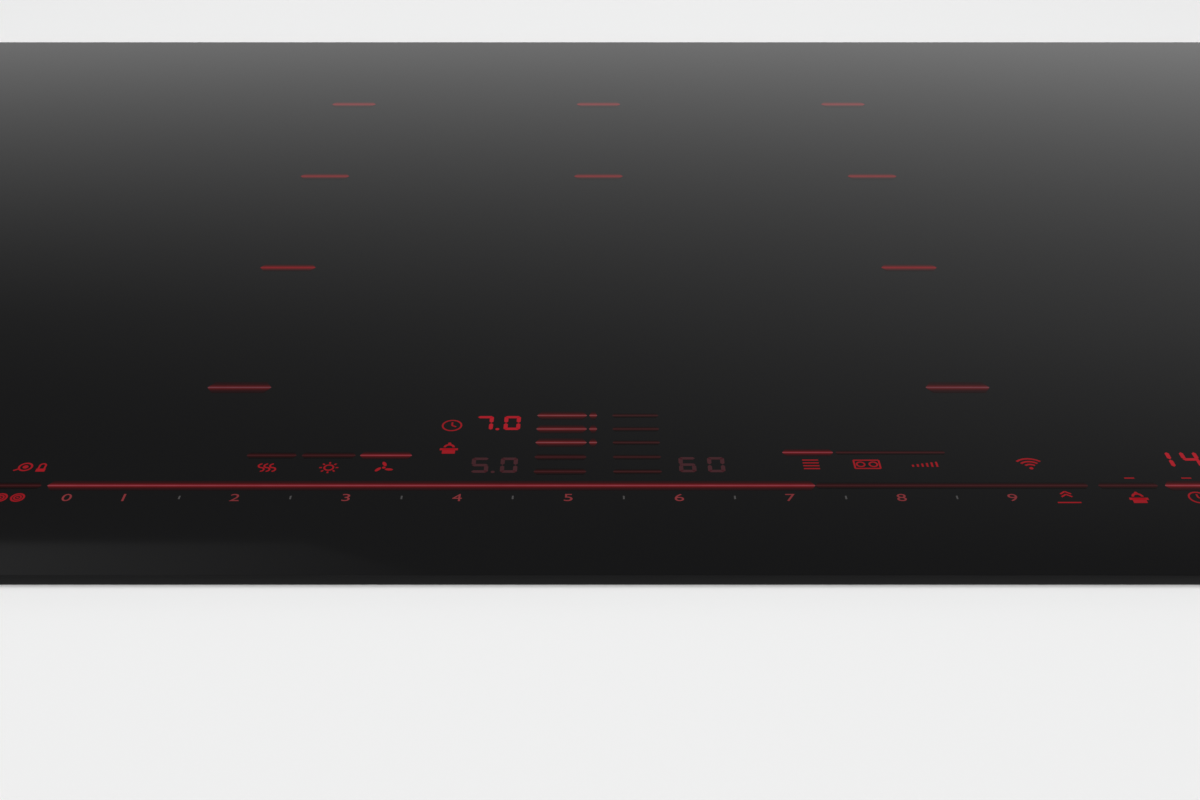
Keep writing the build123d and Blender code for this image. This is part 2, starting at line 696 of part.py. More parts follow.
def blade_face():
    """Section of one forward-leaning blade, bowed once in the middle."""
    inner = Vector(ROTOR_BLADE_START, 0)
    outer = Vector(ROTOR_RADIUS - BLADE_THICKNESS, 0).rotate(Axis.Z, BLADE_SWEEP)
    across = (outer - inner).rotate(Axis.Z, -90).normalized()
    middle = (inner + outer) / 2 + across * BLADE_BOW
    belly = [inner, middle, outer]
    back = [point + across * BLADE_THICKNESS for point in reversed(belly)]
    return make_face(Polyline(*belly, *back, close=True))


def fan_rotor(side):
    """Hub on the motor's shaft, a back disc and a ring of blades that hang from it."""
    body = disc(HUB_RADIUS, HUB_BOTTOM, ROTOR_TOP) + disc(ROTOR_RADIUS, ROTOR_TOP - ROTOR_DISC, ROTOR_TOP)
    body -= disc(SHAFT_RADIUS + SHAFT_CLEARANCE, HUB_BOTTOM, ROTOR_TOP)
    blade = Pos(0, 0, ROTOR_BOTTOM) * extrude(blade_face(), ROTOR_HEIGHT - ROTOR_DISC)
    blades = [Rot(0, 0, 360 / BLADE_COUNT * index) * blade for index in range(BLADE_COUNT)]
    return at_fan(side, body + blades)


# Power electronics


def power_board(side):
    return block(mirrored_span(side, POWER_BOARD_X), POWER_BOARD_Y, (BOARD_BOTTOM, BOARD_TOP))


def filter_board():
    return block(FILTER_BOARD_X, FILTER_BOARD_Y, (BOARD_BOTTOM, BOARD_TOP))


def board_standoffs():
    foot = span_about(0, STANDOFF_WIDTH)
    pillar = block(foot, foot, (TRAY_FLOOR, BOARD_BOTTOM))
    boards = [(mirrored_span(side, POWER_BOARD_X), POWER_BOARD_Y) for side in SIDES.values()]
    boards.append((FILTER_BOARD_X, FILTER_BOARD_Y))
    places = [
        (x, y)
        for x_span, y_span in boards
        for x in (x_span[0] + STANDOFF_INSET, x_span[1] - STANDOFF_INSET)
        for y in (y_span[0] + STANDOFF_INSET, y_span[1] - STANDOFF_INSET)
    ]
    return Compound(children=[Pos(x, y, 0) * pillar for x, y in places])


def heatsink(side):
    """Extruded comb: a base with upright fins along the air's path."""
    base = Pos(0, HEATSINK_BASE / 2) * Rectangle(HEATSINK_WIDTH, HEATSINK_BASE)
    pitch = (HEATSINK_WIDTH - FIN_THICKNESS) / (FIN_COUNT - 1)
    fins = [
        Pos(pitch * (index - (FIN_COUNT - 1) / 2), HEATSINK_HEIGHT / 2)
        * Rectangle(FIN_THICKNESS, HEATSINK_HEIGHT)
        for index in range(FIN_COUNT)
    ]
    comb = Rot(90, 0, 0) * extrude(base + fins, HEATSINK_Y[1] - HEATSINK_Y[0])
    return Pos(side * heatsink_x(), HEATSINK_Y[1], BOARD_TOP) * comb


def heatsink_x():
    """The heatsink's middle, behind the middle of the blower's mouth."""
    return FAN_X + (OUTLET_INNER_X - scroll_face(0).bounding_box().min.X) / 2


def power_transistors():
    thickness, width, height = TRANSISTOR_SIZE
    z_span = (BOARD_TOP, BOARD_TOP + height)
    flank = heatsink_x() + HEATSINK_WIDTH / 2
    pitch = (HEATSINK_Y[1] - HEATSINK_Y[0]) / TRANSISTOR_COUNT
    solids = []
    for side in SIDES.values():
        x_span = mirrored_span(side, (flank, flank + thickness))
        for index in range(TRANSISTOR_COUNT):
            y = HEATSINK_Y[0] + pitch * (index + 0.5)
            solids.append(block(x_span, span_about(y, width), z_span))
    return Compound(children=solids)


def film_capacitors():
    length, width, height = CAPACITOR_SIZE
    case = block(span_about(0, length), span_about(0, width), (BOARD_TOP, BOARD_TOP + height))
    x = heatsink_x() + HEATSINK_WIDTH / 2 + CAPACITOR_FROM_HEATSINK
    first = POWER_BOARD_Y[0] + CAPACITOR_FROM_FRONT
    rows = [first + CAPACITOR_PITCH * index for index in range(CAPACITOR_COUNT)]
    return Compound(children=[Pos(side * x, y, 0) * case for side in SIDES.values() for y in rows])


def filter_chokes():
    """Chokes: a wound bobbin through a flat ferrite core."""
    parts = []
    for length, width, height in (CHOKE_SIZE, BOBBIN_SIZE):
        parts.append(block(span_about(0, length), span_about(0, width), (BOARD_TOP, BOARD_TOP + height)))
    choke = parts[0] + parts[1]
    y = POWER_BOARD_Y[1] - CHOKE_FROM_BACK
    columns = [POWER_BOARD_X[1] - inset for inset in CHOKE_FROM_EDGE]
    return Compound(children=[Pos(side * x, y, 0) * choke for side in SIDES.values() for x in columns])


# Control strip


def control_outline(grow):
    """T-shaped outline of the control board: a long strip with the display's lobe behind it."""
    strip_y = (from_front(CONTROL_BOARD_FRONT) - grow, from_front(CONTROL_BOARD_BACK) + grow)
    lobe_y = (strip_y[0], from_front(DISPLAY_BACK) + grow)
    strip = Rectangle(CONTROL_BOARD_WIDTH + 2 * grow, strip_y[1] - strip_y[0])
    lobe = Rectangle(DISPLAY_WIDTH + 2 * grow, lobe_y[1] - lobe_y[0])
    return Pos(0, sum(strip_y) / 2) * strip + Pos(0, sum(lobe_y) / 2) * lobe


def control_carrier():
    """Moulded tray on legs that holds the control board up against the glass."""
    height = CONTROL_BOARD_TOP - CARRIER_BOTTOM
    body = Pos(0, 0, CARRIER_BOTTOM) * extrude(control_outline(CARRIER_RIM), height)
    body -= Pos(0, 0, CONTROL_BOARD_BOTTOM) * extrude(control_outline(FRAME_FIT), height)
    y = from_front((CONTROL_BOARD_FRONT + CONTROL_BOARD_BACK) / 2)
    foot = span_about(0, CARRIER_LEG_WIDTH)
    leg = block(foot, foot, (TRAY_FLOOR, CARRIER_BOTTOM))
    return body + [Pos(x, y, 0) * leg for x in CARRIER_LEG_X]


def control_board():
    return Pos(0, 0, CONTROL_BOARD_BOTTOM) * extrude(control_outline(0), BOARD_THICKNESS)


def slider_light_guide():
    y_span = span_about(from_front(SLIDER_FROM_FRONT), SLIDER_WIDTH)
    z_span = (CONTROL_BOARD_TOP, FOIL_BOTTOM)
    return Compound(children=[block(x_span, y_span, z_span) for x_span in SLIDER_SPANS])


def display_light_box():
    """Opaque block with a window for each zone line and each pair of figures."""
    z_span = (CONTROL_BOARD_TOP, FOIL_BOTTOM)
    body = block(LIGHT_BOX_X, (from_front(LIGHT_BOX_FRONT), from_front(LIGHT_BOX_BACK)), z_span)
    for row in range(LINE_COUNT):
        y_span = span_about(from_front(LINE_FIRST + LINE_PITCH * row), LINE_WIDTH)
        body -= [block(span_about(x, LINE_LENGTH), y_span, z_span) for x in LINE_X]
    for x, distance in DIGIT_PLACES:
        body -= block(span_about(x, DIGIT_WIDTH), span_about(from_front(distance), DIGIT_HEIGHT), z_span)
    return body


def touch_foil():
    """Printed sensor foil between the light guides and the glass."""
    return Pos(0, 0, FOIL_BOTTOM) * extrude(control_outline(-TOUCH_FOIL_MARGIN), TOUCH_FOIL_THICKNESS)


# Mains terminal box


def terminal_box():
    """Moulded box, open below, with a cable way in its back wall and eyes for the lid's pivots."""
    x_span = span_about(TERMINAL_X, TERMINAL_WIDTH)
    body = block(x_span, (TERMINAL_FRONT, TERMINAL_BACK), (TRAY_BOTTOM, TERMINAL_TOP))
    body -= block(
        (x_span[0] + TERMINAL_WALL, x_span[1] - TERMINAL_WALL),
        (TERMINAL_FRONT + TERMINAL_WALL, TERMINAL_BACK - TERMINAL_WALL),
        (TRAY_BOTTOM, TERMINAL_TOP - TERMINAL_WALL),
    )
    way = block(
        span_about(TERMINAL_X, CABLE_WIDTH),
        (TERMINAL_BACK - 2 * TERMINAL_WALL, TERMINAL_BACK),
        (TRAY_BOTTOM, TRAY_BOTTOM + CABLE_HEIGHT),
    )
    way = fillet(way.edges().filter_by(Axis.Y).group_by(Axis.Z)[-1], CABLE_CORNER_RADIUS)
    body -= way
    eyes = Cylinder(PIVOT_RADIUS + PIVOT_CLEARANCE, TERMINAL_WIDTH, rotation=(0, 90, 0))
    return body - Pos(TERMINAL_X, PIVOT_Y, PIVOT_Z) * eyes


def lid_panel(width, y_span):
    """Hollow in the lid's underside, with grip ridges left standing along its free edge."""
    z_span = (LID_BOTTOM, LID_BOTTOM + LID_PANEL_DEPTH)
    hollow = block(span_about(TERMINAL_X, width), y_span, z_span)
    for index in range(GRIP_COUNT):
        y = y_span[1] - GRIP_PITCH * (index + 1)
        hollow -= block(span_about(TERMINAL_X, GRIP_LENGTH), span_about(y, GRIP_WIDTH), z_span)
    return hollow


def terminal_lid():
    """Flap with a round knuckle along its front edge and a stub pivot at each end."""
    inner_width = TERMINAL_WIDTH - 2 * (TERMINAL_WALL + TERMINAL_FIT)
    y_span = (PIVOT_Y, TERMINAL_BACK - TERMINAL_WALL - TERMINAL_FIT)
    flap = block(span_about(TERMINAL_X, inner_width), y_span, (LID_BOTTOM, LID_TOP))
    flap -= lid_panel(inner_width - 2 * LID_RIM, (y_span[0] + LID_RIM, y_span[1] - LID_RIM))
    pivot = Pos(TERMINAL_X, PIVOT_Y, PIVOT_Z)
    knuckle = pivot * Cylinder(KNUCKLE_RADIUS, inner_width, rotation=(0, 90, 0))
    stubs = pivot * Cylinder(PIVOT_RADIUS, TERMINAL_WIDTH, rotation=(0, 90, 0))
    return flap + knuckle + stubs


def terminal_block():
    """Connector block with a row of clamp wells that open downwards."""
    top = TERMINAL_TOP - TERMINAL_WALL
    bottom = top - BLOCK_HEIGHT
    y = TERMINAL_BACK - BLOCK_FROM_BACK
    body = block(span_about(TERMINAL_X, BLOCK_LENGTH), span_about(y, BLOCK_DEPTH), (bottom, top))
    pitch = BLOCK_LENGTH / POLE_COUNT
    wells = [
        Pos(TERMINAL_X + pitch * (index - (POLE_COUNT - 1) / 2), y, 0)
        * block(span_about(0, POLE_WIDTH), span_about(0, POLE_WIDTH), (bottom, bottom + POLE_DEPTH))
        for index in range(POLE_COUNT)
    ]
    return body - wells


def pieces():
    """Every node of the part, by name."""
    nodes = {
        "glass_plate": glass_plate(),
        "edge_seal": edge_seal(),
        "bonding_silicone": bonding_silicone(),
        "bonding_frame": bonding_frame(),
        "base_tray": base_tray(),
        "clip_tabs": Compound(
            children=[clip_tab(side, end) for side in SIDES.values() for end in ENDS.values()]
        ),
        "ferrite_bars": ferrite_bars(),
        "temperature_sensors": temperature_sensors(),
        "mica_sheets": mica_sheets(),
        "zone_light_guides": zone_light_guides(),
        "zone_led_strips": zone_led_strips(),
        "plate_posts": plate_posts(),
        "plate_springs": plate_springs(),
        "fan_housings": Compound(children=[fan_housing(side) for side in SIDES.values()]),
        "fan_motors": Compound(children=[fan_motor(side) for side in SIDES.values()]),
        "filter_board": filter_board(),
        "board_standoffs": board_standoffs(),
        "power_transistors": power_transistors(),
        "film_capacitors": film_capacitors(),
        "filter_chokes": filter_chokes(),
        "control_carrier": control_carrier(),
        "control_board": control_board(),
        "slider_light_guide": slider_light_guide(),
        "display_light_box": display_light_box(),
        "touch_foil": touch_foil(),
        "terminal_box": terminal_box(),
        "terminal_lid": terminal_lid(),
        "terminal_block": terminal_block(),
    }
    for zone, (x, coils) in ZONES.items():
        nodes[f"coil_plate_{zone}"] = coil_plate(zone)
        nodes[f"coil_formers_{zone}"] = zone_formers(zone)
        for number, y in coils:
            nodes[f"winding_{zone}_{number}"] = winding(x, y)
    for name, side in SIDES.items():
        nodes[f"fan_rotor_{name}"] = fan_rotor(side)
        nodes[f"power_board_{name}"] = power_board(side)
        nodes[f"heatsink_{name}"] = heatsink(side)
        for end_name, end in ENDS.items():
            nodes[f"clip_leaf_{end_name}_{name}"] = clip_leaf(side, end)
    return nodes


def main():
    os.makedirs("parts", exist_ok=True)
    for name, shape in pieces().items():
        export_step(shape, f"parts/{name}.step")


main()
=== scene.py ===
"""Looks of a built-in induction cooktop: black glass with red lit marks over a galvanised steel tray.

Everything is in metres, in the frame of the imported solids. Sizes are written in millimetres, and the places
of marks as x to the right of the middle and d behind the front edge of the glass.
"""

import json
import math

import bmesh
import bpy
from mathutils import Matrix, Vector
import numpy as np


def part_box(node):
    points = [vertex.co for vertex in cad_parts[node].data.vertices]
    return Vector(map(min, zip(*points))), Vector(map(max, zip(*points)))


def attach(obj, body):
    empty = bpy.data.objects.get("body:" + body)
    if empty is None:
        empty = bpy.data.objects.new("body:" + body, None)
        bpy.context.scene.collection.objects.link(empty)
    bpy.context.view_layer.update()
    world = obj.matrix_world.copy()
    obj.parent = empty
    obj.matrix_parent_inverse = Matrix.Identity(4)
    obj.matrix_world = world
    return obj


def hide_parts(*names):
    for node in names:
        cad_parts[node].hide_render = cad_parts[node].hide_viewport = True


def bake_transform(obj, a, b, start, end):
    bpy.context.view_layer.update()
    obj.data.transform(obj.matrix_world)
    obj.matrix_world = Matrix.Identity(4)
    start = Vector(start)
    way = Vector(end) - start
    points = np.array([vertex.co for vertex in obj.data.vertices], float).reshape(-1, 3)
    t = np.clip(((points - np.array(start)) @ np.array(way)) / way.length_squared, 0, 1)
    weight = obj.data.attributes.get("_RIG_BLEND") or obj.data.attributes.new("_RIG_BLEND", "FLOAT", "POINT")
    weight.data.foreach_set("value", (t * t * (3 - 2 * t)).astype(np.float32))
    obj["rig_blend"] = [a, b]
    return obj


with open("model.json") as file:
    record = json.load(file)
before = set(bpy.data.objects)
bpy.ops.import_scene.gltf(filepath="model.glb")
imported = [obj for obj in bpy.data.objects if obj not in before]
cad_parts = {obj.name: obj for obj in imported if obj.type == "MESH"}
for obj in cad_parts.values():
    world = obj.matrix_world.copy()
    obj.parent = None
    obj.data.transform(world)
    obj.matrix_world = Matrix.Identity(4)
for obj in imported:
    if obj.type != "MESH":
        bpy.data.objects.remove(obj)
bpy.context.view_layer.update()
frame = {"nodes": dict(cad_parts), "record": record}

MM = 0.001
CLOSE = 0.001 * MM
GLASS_LOW, GLASS_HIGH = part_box("glass_plate")
TRAY_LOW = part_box("base_tray")[0]

# The photograph's camera: millimetres, degrees and pixels of the 1200 by 800 image
IMAGE_WIDTH = 1200
SENSOR_WIDTH = 36.0
FOCAL_PIXELS = 1430.0
MIDDLE_PIXEL = 598.5
CAMERA_PLACE = (0.0, -609.0, 290.0)
CAMERA_PITCH = 32.18
NEAREST_VIEW = 10.0

# Light: the room's walls are bright low down and darken upwards, more so on the left, with a paler
# panel high up on the left; one soft box hangs overhead
BAND_LIGHT = 0.95
BAND_TOP = 0.30
BAND_FALL = 0.126
CEILING_LIGHT = 0.07
SIDE_LIGHT = 0.23
SIDE_TOP = 0.80
SIDE_FADE = 0.25
PANEL_LIGHT = 0.33
PANEL_RIGHT = -0.12
PANEL_CORNER = -0.26
PANEL_RISE = 0.778
PANEL_SLOPE = 0.35
PANEL_FULL = 0.5
LEAST_LIGHT = 0.02
FLOOR_BOUNCE = 0.60
FLOOR_TILT = 0.35
BACKGROUND = 1.0
SOFT_BOX_SIZE = 2400.0
SOFT_BOX_HEIGHT = 2400.0
SOFT_BOX_POWER = 58.0

# Stage: a floor just below the tray, which fades out all round between two distances from the middle, and
# a strip of the worktop's surface in front of the glass, which fades out to the left and right
FLOOR_COLOUR = (0.92, 0.92, 0.92, 1.0)
FLOOR_REACH = 2400.0
FLOOR_FADE = (1000.0, 2000.0)
FLOOR_DROP = 1.6
WORKTOP_COLOUR = (0.885, 0.885, 0.885, 1.0)
WORKTOP_BEHIND_EDGE = 0.3
WORKTOP_ABOVE_SEAL = 0.3
WORKTOP_DEPTH = 90.0
WORKTOP_FADE = (200.0, 400.0)

# Glass
GLASS_IOR = 1.5
GLASS_CORNER = 8.0
GLASS_TOP_BEVEL = 0.3
GLASS_BOTTOM_BEVEL = 0.7
GLASS_FLAT_MARGIN = 0.3
LEVEL_NORMAL = 0.999

# Lit marks: the light of each kind; a glow is the gloss, the haze at a line's edges and how steeply the
# light falls towards them
MARK_LIFT = 0.01
MARK_HEIGHT = 0.03
BRIGHT_LIGHTS = {
    "lit": (0.245, 0.056, 0.076),
    "display": (0.34, 0.008, 0.016),
    "zone": (0.19, 0.066, 0.076),
    "dash": (0.145, 0.052, 0.066),
    "symbol": (0.265, 0.006, 0.011),
    "figure": (0.185, 0.026, 0.030),
}
DIM_LIGHTS = {
    "far_dash": (0.195, 0.004, 0.012),
    "dim": (0.044, 0.012, 0.015),
    "faint": (0.040, 0.014, 0.016),
}
BRIGHT_GLOW = (0.36, 0.005, 3.2)
DIM_GLOW = (0.5, 0.0, 2.0)
CORE_FALL = 8.0
POINTED_END = 0.3
ARC_STEP = 15.0
DOT_SIDES = 16

# Strokes and dots of the symbols
FINE_STROKE = 0.6
STROKE = 0.62
BOLD_STROKE = 0.7
HEAVY_STROKE = 0.8
KNOB_RADIUS = 0.6
POINT_RADIUS = 0.7

# Zone dashes: columns in x, rows as pairs of d and width; the middle column has the back rows only
DASH_LENGTH = 24.2
DASH_COLUMNS = (-136.0, 0.0, 136.0)
DASH_ROWS = ((112.0, 7.6), (212.0, 6.4), (312.0, 7.0), (412.0, 8.2))
MIDDLE_DASHES_FROM = 300.0

# Slider line, its figures and the printed ticks between them
SLIDER_D = 48.3
SLIDER_WIDTH = 5.4
DIM_LINE_WIDTH = 3.6
SLIDER_LIT = ((-188.0, 74.0), (193.2, 213.0))
SLIDER_DIM = ((-206.0, -190.0), (74.0, 167.0), (170.4, 190.8))
FIGURE_D = 41.4
FIGURE_HEIGHT = 4.0
FIGURE_WIDTH = 3.2
FIGURE_STRETCH = 1.3
FIGURE_ZERO_X = -179.2
FIGURE_ONE_X = -160.0
FIGURE_STEP = 37.45
TICK_LENGTH = 1.9
TICK_WIDTH = 0.6
TICK_PRINT = (0.062, 0.060, 0.060)
INK_GLOSS = 0.18

# Power display: five zone lines on each side of the middle, and figures with the x and d of their lower
# left corners
ZONE_LINE_D = (92.4, 83.4, 74.6, 65.5, 56.6)
ZONE_LINES_LIT = 3
ZONE_LINE_WIDTH = 5.2
FAINT_LINE_WIDTH = 2.8
ZONE_LINE_LEFT = (-22.5, -4.2)
ZONE_LINE_TIP = (-3.4, -0.5)
ZONE_LINE_RIGHT = (5.0, 22.0)
DIGIT_WIDTH = 6.0
DIGIT_HEIGHT = 9.2
DIGIT_STROKE = 1.45
SEGMENT_GAP = 0.62 * DIGIT_STROKE
DISPLAY_LIT = (("7", -44.3, 82.8), ("0", -34.4, 82.8), ("1", 195.0, 59.4), ("4", 204.6, 59.4))
DISPLAY_DIM = (("5", -44.3, 55.9), ("0", -34.2, 55.9), ("6", 28.0, 56.2), ("0", 38.0, 56.2))
POINT_LIT = (-36.6, 83.3)
POINT_DIM = (-36.6, 56.4)
SEGMENTS = {
    "0": "abcdef",
    "1": "bc",
    "4": "bcfg",
    "5": "acdfg",
    "6": "acdefg",
    "7": "abc",
}

# Bars above the function keys, as span in x, d and width
FUNCTION_BARS_LIT = (((-83.9, -65.6), 66.5, 4.4), ((64.8, 82.8), 68.3, 4.2))
FUNCTION_BARS_DIM = (
    ((-123.8, -106.2), 66.5, DIM_LINE_WIDTH),
    ((-104.4, -85.4), 66.5, DIM_LINE_WIDTH),
    ((83.6, 122.3), 68.3, 2.4),
)

# Heads of screws and rivets, as radius and height, and their forms in shares of these
POST_SCREW = (4.8, 1.4)
BOARD_SCREW = (3.5, 1.4)
POLE_SCREW = (2.7, 2.5)
SCREW_SIDES = 24
SCREW_ROUNDING = 0.45
RECESS_MARGIN = 0.5
RECESS_DEPTH = 0.7
RECESS_LOBES = 6
LOBE_DEPTH = 0.12
RIVET = (2.6, 1.1)
RIVET_SIDES = 20
RIVET_DOME = ((1.0, 0.0), (0.92, 0.45), (0.6, 0.85), (0.0, 1.0))

# Terminal block, laps of the tray's corners and spring clips
POLE_COUNT = 5
POLE_DEPTH = 6.0
LAP_WIDTH = 15.0
LAP_SHEET = 0.8
LAP_CORNER = 4.0
LAP_ABOVE_FLOOR = 4.5
LAP_BELOW_RIM = 3.0
LAP_RIVETS = (0.24, 0.76)
CLIP_RIVET_SPREAD = 8.0
CLIP_SHEET = 0.8
CLIP_BEND = 3.0
CLIP_TIP_RISE = 4.2
CLIP_TIP_INSET = 0.8
CLIP_TAB_MARGIN = 0.1
CLIP_FLEX_ABOVE = 1.5
CLIP_FLEX_BELOW = 3.0


class Value:
    """An output of a node tree that takes part in Python arithmetic."""

    def __init__(self, tree, socket):
        self.tree = tree
        self.socket = socket

    def math(self, operation, first, second):
        return self.tree.node("ShaderNodeMath", {"operation": operation}, {0: first, 1: second})

    def __add__(self, other):
        return self.math("ADD", self, other)

    def __sub__(self, other):
        return self.math("SUBTRACT", self, other)

    def __rsub__(self, other):
        return self.math("SUBTRACT", other, self)

    def __mul__(self, other):
        return self.math("MULTIPLY", self, other)

    def __truediv__(self, other):
        return self.math("DIVIDE", self, other)

    def __rtruediv__(self, other):
        return self.math("DIVIDE", other, self)

    def __pow__(self, other):
        return self.math("POWER", self, other)

    def __rpow__(self, other):
        return self.math("POWER", other, self)

    def __lt__(self, other):
        return self.math("LESS_THAN", self, other)

    def __gt__(self, other):
        return self.math("GREATER_THAN", self, other)

    __radd__ = __add__
    __rmul__ = __mul__

    def __abs__(self):
        return self.math("ABSOLUTE", self, 0.0)

    def at_most(self, other):
        return self.math("MINIMUM", self, other)

    def at_least(self, other):
        return self.math("MAXIMUM", self, other)


class Tree:
    """Node tree of a material or of the world."""

    def __init__(self, owner):
        owner.use_nodes = True
        self.nodes = owner.node_tree.nodes
        self.links = owner.node_tree.links

    def node(self, kind, settings=None, sockets=None, output=0):
        """Adds a node: its settings first, then the values or links of its sockets. Gives one output."""
        node = self.nodes.new(kind)
        for name, value in (settings or {}).items():
            setattr(node, name, value)
        for name, value in (sockets or {}).items():
            self.feed(node.inputs[name], value)
        return Value(self, node.outputs[output])

    def feed(self, socket, value):
        if isinstance(value, Value):
            self.links.new(value.socket, socket)
        else:
            socket.default_value = value

    def ray(self, kind):
        """One for rays of this kind, zero for all others."""
        return self.node("ShaderNodeLightPath", output=kind)

    def axis(self, vector, name):
        return self.node("ShaderNodeSeparateXYZ", sockets={0: vector}, output=name)


class Finish(Tree):
    """A material: one main shader, with patterns on Object coordinates in metres."""

    def __init__(self, name, **constants):
        self.material = bpy.data.materials.new(name)
        super().__init__(self.material)
        self.shader = self.nodes["Principled BSDF"]
        self.place = self.node("ShaderNodeTexCoord", output="Object")
        self.set(**constants)

    def set(self, **sockets):
        """Sets or links sockets of the shader; an underscore in a name stands for a space."""
        for name, value in sockets.items():
            self.feed(self.shader.inputs[name.replace("_", " ")], value)

    def stretched(self, stretch):
        return self.node("ShaderNodeMapping", sockets={"Vector": self.place, "Scale": stretch})

    def noise(self, scale, detail=2.0, stretch=(1.0, 1.0, 1.0)):
        sockets = {"Vector": self.stretched(stretch), "Scale": scale, "Detail": detail}
        return self.node("ShaderNodeTexNoise", sockets=sockets)

    def cells(self, scale, output="Distance"):
        sockets = {"Vector": self.place, "Scale": scale}
        return self.node("ShaderNodeTexVoronoi", sockets=sockets, output=output)

    def mix(self, share, low, high):
        """Colour between two colours."""
        colours = {0: share, 6: low, 7: high}
        return self.node("ShaderNodeMix", {"data_type": "RGBA"}, colours, 2)

    def shades(self, share, colour, low, high):
        """A colour that varies between two brightnesses."""
        return self.mix(share, scaled(colour, low), scaled(colour, high))

    def relief(self, height, distance):
        """Raises the surface by a pattern, at most by the distance in metres."""
        self.set(Normal=self.node("ShaderNodeBump", sockets={"Height": height, "Distance": distance}))


def scaled(colour, factor):
    return tuple(channel * factor for channel in colour[:3]) + (1.0,)


# Finishes


def black_glass():
    """Polished black glass-ceramic with a trace of wiping marks."""
    finish = Finish("black_glass", IOR=GLASS_IOR)
    smears = finish.noise(6.0, 4.0, (0.35, 1.0, 1.0))
    finish.set(Base_Color=finish.mix(smears, (0.0030, 0.0030, 0.0033, 1.0), (0.0048, 0.0048, 0.0051, 1.0)))
    finish.set(Roughness=0.028 + 0.03 * smears)
    finish.relief(finish.noise(9.0, 1.0), 0.02 * MM)
    return finish.material


def ground_edge():
    """The glass's edge as the grinding wheel leaves it: dull black with fine lines along the edge."""
    finish = Finish("ground_edge", Specular_IOR_Level=0.12)
    lines = finish.noise(1500.0, 2.0, (0.02, 0.02, 1.0))
    finish.set(Base_Color=finish.shades(lines, (0.0095, 0.0095, 0.0098), 0.7, 1.3))
    finish.set(Roughness=0.40 + 0.2 * lines)
    finish.relief(lines, 0.01 * MM)
    return finish.material


def lit_red(name, colour, gloss, haze, fall):
    """Light that shines through the glass: it fades at soft edges and beats faintly from lamp to lamp."""
    finish = Finish(name, Roughness=0.04, IOR=GLASS_IOR, Specular_IOR_Level=gloss, Emission_Strength=1.0)
    finish.set(Base_Color=scaled(colour, 0.05))
    beat = finish.noise(220.0, 0.0, (1.0, 0.2, 0.2))
    fade = finish.node("ShaderNodeAttribute", {"attribute_name": "fade"}, output="Fac")
    core = finish.shades(beat, colour, 0.86, 1.14)
    light = finish.mix((1 - fade) ** CORE_FALL, (colour[0], 0.0, 0.0, 1.0), core)
    finish.set(Emission_Color=finish.mix((1 - fade) ** fall, (haze, 0.0, 0.0, 1.0), light))
    return finish.material


def printed_ink():
    """Grey ceramic ink burnt into the glass, with the speckle of the printing screen."""
    finish = Finish("printed_ink", IOR=GLASS_IOR, Specular_IOR_Level=INK_GLOSS)
    speckle = finish.noise(5000.0, 1.0)
    finish.set(Base_Color=finish.shades(speckle, TICK_PRINT, 0.8, 1.2))
    finish.set(Roughness=0.25 + 0.1 * speckle)
    return finish.material


def foam():
    finish = Finish("seal_foam")
    cells = finish.cells(2200.0)
    finish.set(Base_Color=finish.shades(cells, (0.035, 0.035, 0.036), 0.6, 1.5))
    finish.set(Roughness=0.75 + 0.2 * cells)
    finish.relief(cells, 0.15 * MM)
    return finish.material


def rubbery(name, colour):
    """Silicone: smooth, half dull, with slow bumps from the mould or nozzle."""
    finish = Finish(name)
    waves = finish.noise(160.0, 3.0)
    finish.set(Base_Color=finish.shades(waves, colour, 0.85, 1.15))
    finish.set(Roughness=0.42 + 0.2 * waves)
    finish.relief(waves, 0.12 * MM)
    return finish.material


def zinc_sheet(name, colour, crystal):
    """Zinc-coated sheet: crystals of slightly different sheen, rolling marks and dull patches."""
    finish = Finish(name, Metallic=1.0)
    crystals = finish.cells(crystal, "Color")
    fine = finish.noise(700.0, 2.0)
    patches = finish.noise(14.0, 4.0)
    rolling = finish.noise(90.0, 3.0, (0.04, 1.0, 1.0))
    tone = 0.40 * crystals + 0.20 * patches + 0.40 * rolling
    finish.set(Base_Color=finish.shades(tone, colour, 0.74, 1.22))
    finish.set(Roughness=0.32 + 0.12 * crystals + 0.08 * patches)
    finish.relief(0.6 * crystals + 0.4 * fine, 0.02 * MM)
    return finish.material


def brushed_metal(name, colour, roughness, stretch):
    """Bare metal with grinding or drawing lines along one direction."""
    finish = Finish(name, Metallic=1.0)
    lines = finish.noise(900.0, 3.0, stretch)
    stains = finish.noise(25.0, 4.0)
    finish.set(Base_Color=finish.shades(0.6 * lines + 0.4 * stains, colour, 0.82, 1.14))
    finish.set(Roughness=roughness + 0.18 * lines + 0.08 * stains)
    finish.relief(lines, 0.015 * MM)
    return finish.material


def moulded(name, colour, roughness=0.48):
    """Injection-moulded plastic with a spark-eroded grain and slow flow marks."""
    finish = Finish(name)
    grain = finish.noise(2600.0, 2.0)
    flow = finish.noise(22.0, 3.0)
    finish.set(Base_Color=finish.shades(0.3 * grain + 0.7 * flow, colour, 0.86, 1.12))
    finish.set(Roughness=roughness + 0.14 * grain + 0.06 * flow)
    finish.relief(grain, 0.04 * MM)
    return finish.material


def sintered(name, colour):
    """Pressed and fired powder: dark, speckled and faintly glittering."""
    finish = Finish(name)
    specks = finish.cells(1500.0, "Color")
    clouds = finish.noise(60.0, 4.0)
    finish.set(Base_Color=finish.shades(0.6 * specks + 0.4 * clouds, colour, 0.6, 1.4))
    finish.set(Roughness=0.40 + 0.30 * specks)
    finish.relief(specks, 0.03 * MM)
    return finish.material


